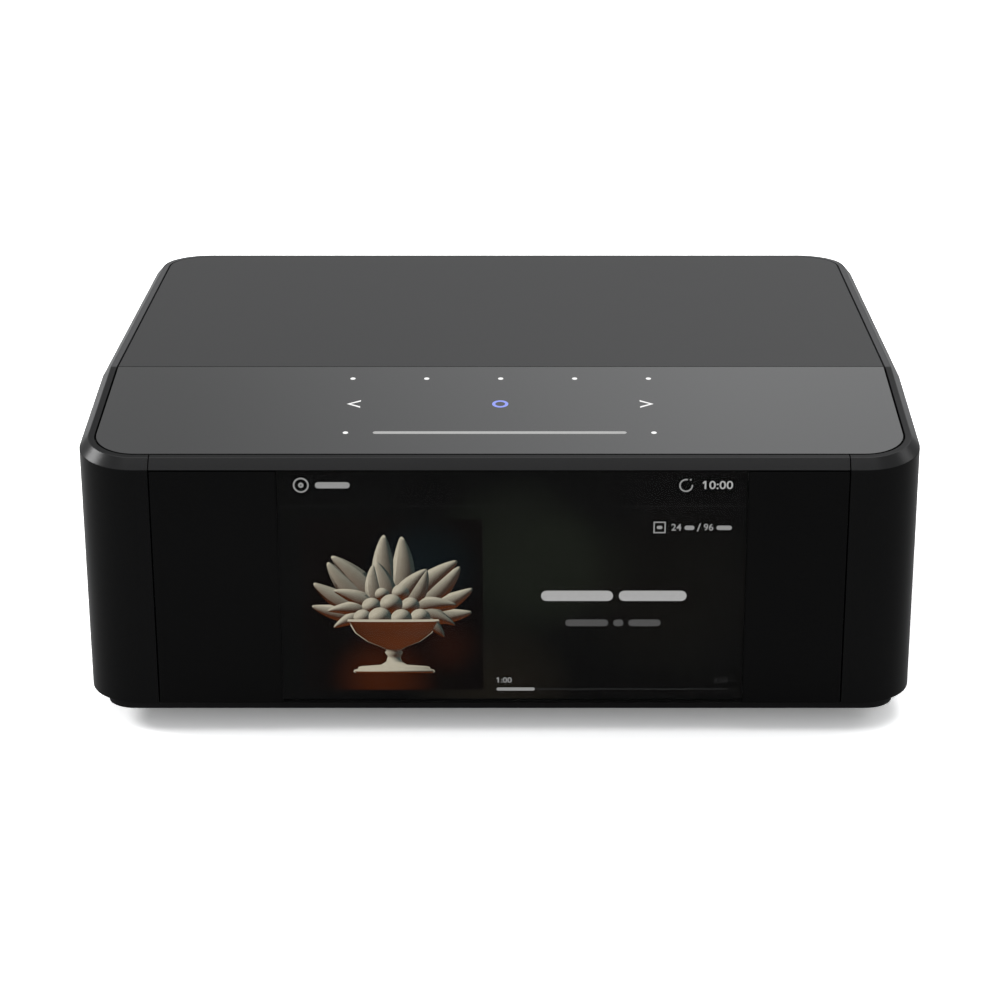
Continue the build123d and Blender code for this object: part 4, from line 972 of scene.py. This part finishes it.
def case_ring(sizes):
    """The closed ring of the casing: walls, bevelled rim and ledge, with its front sloping."""
    low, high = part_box("wrap_shell")
    bm = bmesh.new()
    base = rounded_face(
        bm, high.x - low.x, high.y - low.y, (high.y + low.y) / 2.0, low.z, sizes.corner,
        CORNER_STEPS,
    )
    top = pulled(bm, base, high.z - low.z - sizes.bevel_down, closed=True)
    drawn_in(bm, top, sizes.bevel_in, sizes.bevel_down)
    drawn_in(bm, top, sizes.land)
    top = pulled(bm, top, -PANEL_DROP)
    drawn_in(bm, top, LEDGE)
    top = pulled(bm, top, -PANEL_DROP)
    bmesh.ops.reverse_faces(bm, faces=[base])
    bmesh.ops.recalc_face_normals(bm, faces=bm.faces)
    drawn_in(bm, base, WALL)
    base = pulled(bm, base, high.z - low.z - 2.0 * PANEL_DROP)
    drawn_in(bm, base, sizes.bevel_in + sizes.land + LEDGE - WALL)
    bmesh.ops.delete(bm, geom=[top, base], context="FACES_ONLY")
    turned_out(bm)
    bmesh.ops.bisect_plane(
        bm, geom=bm.verts[:] + bm.edges[:] + bm.faces[:], plane_co=(0.0, FOLD_Y, 0.0),
        plane_no=(0.0, 1.0, 0.0),
    )

    # The top slopes down in front of the fold, the bevel's lower edge beside its upper one
    middle = low.y + sizes.corner
    shrink = (sizes.corner - sizes.bevel_in) / sizes.corner
    rim = high.z - sizes.bevel_down
    touching = 0.01 * MM
    walls_top = 60.0 * MM
    for vert in bm.verts:
        y, z = vert.co.y, vert.co.z
        if y < FOLD_Y - touching and z > walls_top:
            if abs(z - rim) < touching and y < middle:
                y = middle + (y - middle) * shrink
            vert.co.z = z - (FOLD_Y - y) * math.tan(SLOPE)
    return softened(bm, sizes.edge, 20.0)


def case_shell(sizes):
    """The ring with its posts, front bay, rear opening and screw holes."""
    ring_mesh = as_mesh("ring", case_ring(sizes))
    posts, recess, holes = bmesh.new(), bmesh.new(), bmesh.new()
    for x, y in POST_PLACES:
        height = 64.2 if y < 0.0 else 71.3
        round_bar(posts, 4.5, (x, y, 10.2), height)
        round_bar(holes, 1.5, (x, y, 9.2), 13.0)
    for x, z in REAR_SCREWS:
        round_bar(posts, 2.9, (x, 80.5, z), 5.2, "Y")
        round_bar(holes, 1.3, (x, 79.5, z), 9.0, "Y", 24)
    for x, z in FRONT_SCREWS:
        round_bar(holes, 1.3, (x, -95.475, z), 3.5, "Y", 24)

    # The bay of the front frame, the rear panel's rebate and the opening behind it
    box_between(recess, (-90.35, -98.0, 5.0), (90.35, -89.48, 90.0))
    round_plate(recess, 93.15, 11.35, 71.65, 3.15, 86.0, 89.0)
    round_plate(holes, 87.0, 17.5, 65.5, 3.0, 80.0, 89.5)
    return carved(ring_mesh, (("UNION", posts), ("DIFFERENCE", recess), ("DIFFERENCE", holes)))


class STREAMER_OT_casing(StreamerOperator, Operator):
    """Make the wrap-around shell with its bevelled rim"""

    bl_idname = "streamer.casing"
    bl_label = "Casing shell"

    def execute(self, context):
        mesh = meshed("casing_shell", case_shell(context.scene.streamer_sizes))
        flat_faced(piece("casing_shell", mesh, CASING, "casing_metal", stands_for=("wrap_shell",)))
        return {"FINISHED"}


class STREAMER_OT_covers(StreamerOperator, Operator):
    """Make the front frame, bottom cover and rear panel"""

    bl_idname = "streamer.covers"
    bl_label = "Frame, bottom and back"

    def execute(self, context):
        edge = context.scene.streamer_sizes.edge
        ease_node("front_frame", CASING, "casing_metal", edge, MM * MM)
        ease_node("bottom_cover", CASING, "base_moulding", edge)
        ease_node("rear_panel", CASING, "panel_finish", edge)
        return {"FINISHED"}


class STREAMER_OT_top(StreamerOperator, Operator):
    """Make the rear deck, the touch panel and the front glass"""

    bl_idname = "streamer.top"
    bl_label = "Top and glass"

    def execute(self, context):
        edge = context.scene.streamer_sizes.edge
        ease_node("top_deck", CASING, "deck_finish", edge * 0.3)
        ease_node("touch_panel", CASING, "touch_glass", edge * 0.3)
        ease_node("front_glass", CASING, "smoked_glass", edge)
        return {"FINISHED"}


class STREAMER_OT_marks(StreamerOperator, Operator):
    """Make the lit marks of the touch panel"""

    bl_idname = "streamer.marks"
    bl_label = "Touch marks"

    def execute(self, context):
        proud = context.scene.streamer_sizes.mark_height
        near, far = -proud, proud * 10.0

        # Dots, arrows, slider and ring, drawn upright below the fold, in mm
        places = [(x, -7.8) for x in (-40.35, -20.2, 0.0, 20.2, 40.35)]
        places += [(x, -40.8) for x in (-40.4, 40.4)]
        middle = -23.6
        dots, slider, circle = bmesh.new(), bmesh.new(), bmesh.new()
        for x, z in places:
            bar(dots, (x - 0.72) * MM, (x + 0.72) * MM, z * MM, 1.44 * MM, near, far)
        for side in (-1.0, 1.0):
            tip, heel = 41.05 * side, 37.4 * side
            for way in (-1.0, 1.0):
                outline = [
                    (tip, middle), (heel, middle + 2.3 * way), (heel, middle + 1.5 * way),
                    (tip - side, middle),
                ]
                slab(dots, [(x * MM, z * MM) for x, z in outline], near, far)
        bar(slider, -33.25 * MM, 33.25 * MM, -40.75 * MM, 1.46 * MM, near, far)
        ring(circle, 0.0, middle * MM, 1.75 * MM, 0.85 * MM, near, far)

        lay = (
            Matrix.Translation((0.0, FOLD_Y, DECK_TOP))
            @ Matrix.Rotation(SLOPE, 4, "X")
            @ Matrix.Rotation(math.radians(-90.0), 4, "X")
        )
        for finish, bm in (("mark_light", dots), ("slider_light", slider), ("ring_light", circle)):
            turned_out(bm)
            bmesh.ops.transform(bm, matrix=lay, verts=bm.verts)
            mesh = meshed(finish, bm)
            piece(finish.replace("light", "marks"), mesh, CASING, "white_diffuser", finish)
        return {"FINISHED"}


# Thickness of the display's ground and of what lies on it, and the relief's share of full depth
GROUND_THICK = 0.02 * MM
PLATE_THICK = 0.03 * MM
FLATTENED = 0.02


def backing(name, corners, front):
    """One thin ground that the display's other pieces lie on."""
    bm = bmesh.new()
    slab(bm, oblong(*corners), front, front - GROUND_THICK)
    piece(name, meshed(name, turned_out(bm)), CASING, "display_glass", name)


def laid_plates(name, finish, rows):
    """One piece of plates on the display.

    A row is a way and its sizes in mm: "bar" left, right, middle, height; "ring" x, z, radius,
    width, start, sweep; "patch" corners; "plate" x, z, width, height. Any other way is a number
    to be drawn, with a bar's sizes.
    """
    low = PANE_FRONT - GROUND_THICK
    high = low - PLATE_THICK
    bm = bmesh.new()
    for way, *values in rows:
        if way == "bar":
            bar(bm, *(value * MM for value in values), low, high)
        elif way == "ring":
            x, z, radius, width, *turn = values
            ring(bm, x * MM, z * MM, radius * MM, width * MM, low, high, *turn)
        elif way == "patch":
            slab(bm, [(x * MM, z * MM) for x, z in values], low, high)
        elif way == "plate":
            x, z, wide, tall = values
            slab(bm, oblong(x, z, x + wide, z + tall), low, high)
        else:
            lettered(bm, way, *(value * MM for value in values), high, low)
    piece(name, meshed(name, turned_out(bm)), CASING, "display_glass", finish)


class STREAMER_OT_screen(StreamerOperator, Operator):
    """Make what the display shows"""

    bl_idname = "streamer.screen"
    bl_label = "Screen"

    def execute(self, context):
        backing("screen_field", (-59.0, 8.95, 65.7, 73.38), PANE_FRONT)
        laid_plates("screen_words", "screen_white", (
            ("bar", 10.82, 29.7, 38.3, 2.9), ("bar", 31.2, 48.97, 38.3, 2.9),
            ("10:00", 52.95, 60.32, 69.06, 2.26),
            ("patch", (52.6, 69.35), (53.15, 69.8), (53.15, 70.19), (52.95, 70.19), (52.4, 69.65)),
        ))
        laid_plates("screen_signs", "screen_pale", (
            ("ring", -51.23, 69.01, 1.85, 0.42), ("ring", -51.23, 69.01, 0.45, 0.5),
            ("bar", -47.6, -38.6, 69.0, 1.7),
            ("ring", 48.2, 68.95, 1.6, 0.4, 75.0, 290.0), ("bar", 49.1, 49.6, 70.5, 0.5),
            ("plate", 39.95, 58.66, 3.2, 0.34), ("plate", 39.95, 55.8, 3.2, 0.34),
            ("plate", 39.95, 56.14, 0.34, 2.52), ("plate", 42.81, 56.14, 0.34, 2.52),
            ("bar", 40.8, 42.3, 57.4, 0.9),
            ("24", 44.6, 47.2, 57.47, 1.9), ("bar", 48.0, 50.6, 57.3, 1.2),
            ("/", 51.2, 52.3, 57.4, 2.2), ("96", 53.0, 55.5, 57.47, 1.9),
            ("bar", 56.3, 60.32, 57.3, 1.2),
            ("1:00", -0.6, 3.1, 14.29, 1.55), ("bar", -0.93, 9.21, 11.68, 0.9),
            ("patch", (-0.85, 14.5), (-0.5, 14.75), (-0.5, 15.06), (-0.6, 15.06), (-0.98, 14.72)),
        ))
        laid_plates("screen_small_words", "screen_grey", (
            ("bar", 17.2, 28.5, 30.66, 1.9), ("bar", 29.8, 32.5, 30.66, 1.9),
            ("bar", 33.8, 42.3, 30.66, 1.9),
        ))
        laid_plates("screen_lines", "screen_faint", (
            ("bar", 9.4, 60.47, 11.68, 0.32), ("plate", -57.0, 63.2, 121.0, 0.12),
            ("3:58", 56.6, 60.4, 14.29, 1.55),
        ))
        return {"FINISHED"}


class STREAMER_OT_picture(StreamerOperator, Operator):
    """Make the plain still life in the place of the picture"""

    bl_idname = "streamer.picture"
    bl_label = "Picture"

    def execute(self, context):
        low = PANE_FRONT - GROUND_THICK
        back = low - 0.025 * MM
        backing("picture_ground", (-51.73, 11.48, -4.44, 59.58), low)
        relief = still_life()
        bmesh.ops.scale(relief, vec=(1.08, FLATTENED, 1.0), verts=relief.verts)
        bmesh.ops.translate(relief, vec=(-28.0 * MM, back, 19.0 * MM), verts=relief.verts)
        bmesh.ops.bisect_plane(
            relief, geom=relief.verts[:] + relief.edges[:] + relief.faces[:],
            plane_co=(0.0, back, 0.0), plane_no=(0.0, 1.0, 0.0), clear_outer=True,
        )
        rims = [edge for edge in relief.edges if edge.is_boundary]
        bmesh.ops.holes_fill(relief, edges=rims)
        mesh = meshed("picture_relief", relief, 180.0)
        piece("picture_relief", mesh, CASING, "display_glass", "picture_relief")
        return {"FINISHED"}


def spun(bm, profile, steps=24):
    """A turned form standing on z, from radius and height in mm."""
    verts = [bm.verts.new((radius * MM, 0.0, height * MM)) for radius, height in profile]
    edges = [bm.edges.new(pair) for pair in zip(verts, verts[1:])]
    bmesh.ops.spin(
        bm, geom=verts + edges, cent=(0.0, 0.0, 0.0), axis=(0.0, 0.0, 1.0),
        dvec=(0.0, 0.0, 0.0), angle=math.tau, steps=steps, use_merge=True,
    )


def leaf(bm, root, turn, length, width, lean):
    """One thick pointed leaf from its root, leaning over towards its tip."""
    made = bmesh.ops.create_uvsphere(bm, u_segments=10, v_segments=12, radius=0.5)["verts"]
    for vert in made:
        x, y, z = vert.co
        along = z + 0.5
        taper = 1.0 - 0.55 * along
        bend = lean * along * along
        vert.co = (
            (x * width * taper * 1.5 + bend) * MM, y * width * 0.5 * MM, along * length * MM
        )
    bmesh.ops.rotate(
        bm, verts=made, cent=(0.0, 0.0, 0.0), matrix=Matrix.Rotation(math.radians(turn), 3, "Y")
    )
    shifted(bm, made, root)


def still_life():
    """A turned bowl on a stepped foot, with leaves and round fruit, before it is flattened."""
    bm = bmesh.new()

    # The bowl's radius and height, each fruit's place and radius, each leaf's turn in degrees,
    # length, width and lean, all in mm
    spun(bm, (
        (0.0, -2.6), (9.6, -2.6), (10.0, -2.2), (9.7, -1.7), (8.9, -1.5), (8.7, -0.9), (7.9, -0.7),
        (3.2, -0.3), (1.9, 0.6), (1.5, 2.2), (2.2, 3.2), (1.7, 3.9), (2.8, 4.7), (6.4, 6.3),
        (9.4, 8.8), (10.9, 11.8), (11.5, 12.0), (11.3, 12.7), (10.4, 12.6), (0.0, 10.5),
    ))
    for x, y, z, radius in (
        (-7.4, -4.0, 13.2, 2.3), (-3.2, -5.2, 13.2, 2.9), (2.0, -5.4, 13.0, 2.6),
        (6.6, -4.4, 13.2, 2.5), (-5.2, -2.6, 16.4, 2.4), (-0.4, -3.2, 17.0, 2.8),
        (4.2, -2.4, 16.6, 2.3), (-2.6, -1.0, 19.8, 2.1), (1.9, -1.2, 20.2, 2.3),
    ):
        made = bmesh.ops.create_icosphere(bm, subdivisions=3, radius=radius * MM)["verts"]
        shifted(bm, made, (x, y, z))
    for turn, length, width, lean in (
        (-96.0, 12.5, 4.6, 3.6), (-74.0, 14.0, 5.0, 3.8), (-52.0, 15.5, 5.2, 3.4),
        (-31.0, 17.0, 5.2, -2.8), (-10.0, 18.5, 5.4, 2.6), (12.0, 18.0, 5.4, -3.0),
        (34.0, 16.5, 5.2, 3.2), (56.0, 15.0, 5.0, -3.4), (79.0, 13.5, 4.8, -3.8),
        (101.0, 12.0, 4.4, -3.2),
    ):
        around = math.radians(turn)
        root = (7.4 * math.sin(around), 0.4, 14.6 + 3.6 * math.cos(around))
        inner = (root[0] * 0.9, -1.2, root[2] - 0.6)
        leaf(bm, root, turn, length, width, lean)
        leaf(bm, inner, turn + 9.0, length * 0.62, width * 0.8, -lean)
    bmesh.ops.recalc_face_normals(bm, faces=bm.faces)
    return bm


class STREAMER_OT_feet(StreamerOperator, Operator):
    """Make the rubber feet"""

    bl_idname = "streamer.feet"
    bl_label = "Feet"

    def execute(self, context):
        edge = context.scene.streamer_sizes.edge
        ease_node("rubber_feet", CASING, "foot_rubber", edge)
        return {"FINISHED"}


class STREAMER_OT_screws(StreamerOperator, Operator):
    """Make the screws of the back and the bottom with crossed recesses"""

    bl_idname = "streamer.screws"
    bl_label = "Screws"

    def execute(self, context):
        solid = as_mesh("screws", eased("case_screws", context.scene.streamer_sizes.edge))

        # A cross is two slots of these halves, in mm
        upright, level = bmesh.new(), bmesh.new()
        for slot, wide, tall in ((upright, 0.35, 1.4), (level, 1.4, 0.35)):
            for x, z in REAR_SCREWS:
                box_between(slot, (x - wide, 88.2, z - tall), (x + wide, 90.0, z + tall))
            for x, y in POST_PLACES:
                box_between(slot, (x - wide, y - tall, 4.5), (x + wide, y + tall, 6.4))
        bm = carved(solid, (("DIFFERENCE", upright), ("DIFFERENCE", level)))
        mesh = meshed("screws_crossed", bm)
        flat_faced(piece(
            "screws_crossed", mesh, CASING, "screw_steel", stands_for=("case_screws",)
        ))
        return {"FINISHED"}


class STREAMER_OT_moving(StreamerOperator, Operator):
    """Make the service button and the optical socket's flap"""

    bl_idname = "streamer.moving"
    bl_label = "Button and flap"

    def execute(self, context):
        edge = context.scene.streamer_sizes.edge
        ease_node("service_button", BUTTON, "button_moulding", edge * 0.7)
        ease_node("optical_shutter", SHUTTER, "shutter_moulding", edge * 0.3)
        return {"FINISHED"}


class STREAMER_OT_sockets(StreamerOperator, Operator):
    """Make the sockets of the rear panel"""

    bl_idname = "streamer.sockets"
    bl_label = "Sockets"

    def execute(self, context):
        edge = context.scene.streamer_sizes.edge
        for node, slot in (
            ("mains_inlet", "black_moulding"), ("network_socket", "pressed_steel"),
            ("data_socket", "pressed_steel"), ("tv_socket", "pressed_steel"),
            ("optical_socket", "black_moulding"), ("phono_barrels", "gilt_contact"),
            ("phono_block", "black_moulding"), ("small_jacks", "black_moulding"),
        ):
            ease_node(node, CASING, slot, edge * 0.7)
        return {"FINISHED"}


class STREAMER_OT_inside(StreamerOperator, Operator):
    """Finish the solids that are kept as they are"""

    bl_idname = "streamer.inside"
    bl_label = "Inside"

    def execute(self, context):
        slots = {row["node"]: row["material_slot"] for row in frame["record"]["subparts"]}
        for node, slot in slots.items():
            kept = frame["nodes"][node]
            kept.data.materials.clear()
            kept.data.materials.append(finishes[slot])
        return {"FINISHED"}


class STREAMER_OT_stage(StreamerOperator, Operator):
    """Lay the floor and set the lights and the camera"""

    bl_idname = "streamer.stage"
    bl_label = "Stage"

    def execute(self, context):
        scene = context.scene
        floor = bmesh.new()
        bmesh.ops.create_grid(floor, x_segments=1, y_segments=1, size=12.0)
        mesh = as_mesh("floor", floor)
        mesh.materials.append(floor_paper())
        placed("floor", mesh, (0.0, 0.0, 0.0))
        scene.world = room_light()

        # Each lamp's name, place, size and power, aimed at the object's middle
        for name, place, size, energy in (
            ("top_box", (0.0, 0.0, 1.6), 1.6, 15.0),
            ("left_box", (-1.087, 0.156, 0.715), 0.4, 9.0),
            ("right_box", (1.087, 0.156, 0.715), 0.36, 1.0),
        ):
            lamp = bpy.data.lights.new(name, "AREA")
            lamp.shape = "SQUARE"
            lamp.size = size
            lamp.energy = energy
            aim = Vector((0.0, 0.0, 0.05)) - Vector(place)
            placed(name, lamp, place, aim.to_track_quat("-Z", "Y").to_euler())

        camera = bpy.data.cameras.new("camera")
        camera.lens = CAMERA_LENS
        camera.sensor_width = 36.0
        camera.shift_x = CAMERA_SHIFT
        camera.clip_start = 0.01
        scene.camera = placed("camera", camera, CAMERA_PLACE, (CAMERA_TILT, 0.0, 0.0))
        scene.view_settings.view_transform = "Standard"
        return {"FINISHED"}


OPERATORS = (
    STREAMER_OT_finishes,
    STREAMER_OT_casing,
    STREAMER_OT_covers,
    STREAMER_OT_top,
    STREAMER_OT_marks,
    STREAMER_OT_screen,
    STREAMER_OT_picture,
    STREAMER_OT_feet,
    STREAMER_OT_screws,
    STREAMER_OT_sockets,
    STREAMER_OT_moving,
    STREAMER_OT_inside,
    STREAMER_OT_stage,
)


class STREAMER_PT_pieces(Panel):
    """Lists the streamer's pieces"""

    bl_idname = "STREAMER_PT_pieces"
    bl_label = "Music streamer"
    bl_space_type = "VIEW_3D"
    bl_region_type = "UI"
    bl_category = "Streamer"

    def draw(self, context):
        column = self.layout.column()
        for group in (context.scene.streamer_sizes, context.scene.streamer_colours):
            for name in group.__annotations__:
                column.prop(group, name)
        for operator in OPERATORS:
            column.operator(operator.bl_idname)


CLASSES = (StreamerSizes, StreamerColours, *OPERATORS, STREAMER_PT_pieces)


def register():
    """Register the classes and hang the settings on the scene."""
    for cls in CLASSES:
        bpy.utils.register_class(cls)
    bpy.types.Scene.streamer_sizes = PointerProperty(type=StreamerSizes)
    bpy.types.Scene.streamer_colours = PointerProperty(type=StreamerColours)


def unregister():
    """Undo register."""
    del bpy.types.Scene.streamer_colours
    del bpy.types.Scene.streamer_sizes
    for cls in reversed(CLASSES):
        bpy.utils.unregister_class(cls)


def main():
    """Build everything in order."""
    register()
    for operator in OPERATORS:
        group, name = operator.bl_idname.split(".")
        getattr(getattr(bpy.ops, group), name)()


if __name__ == "__main__":
    main()
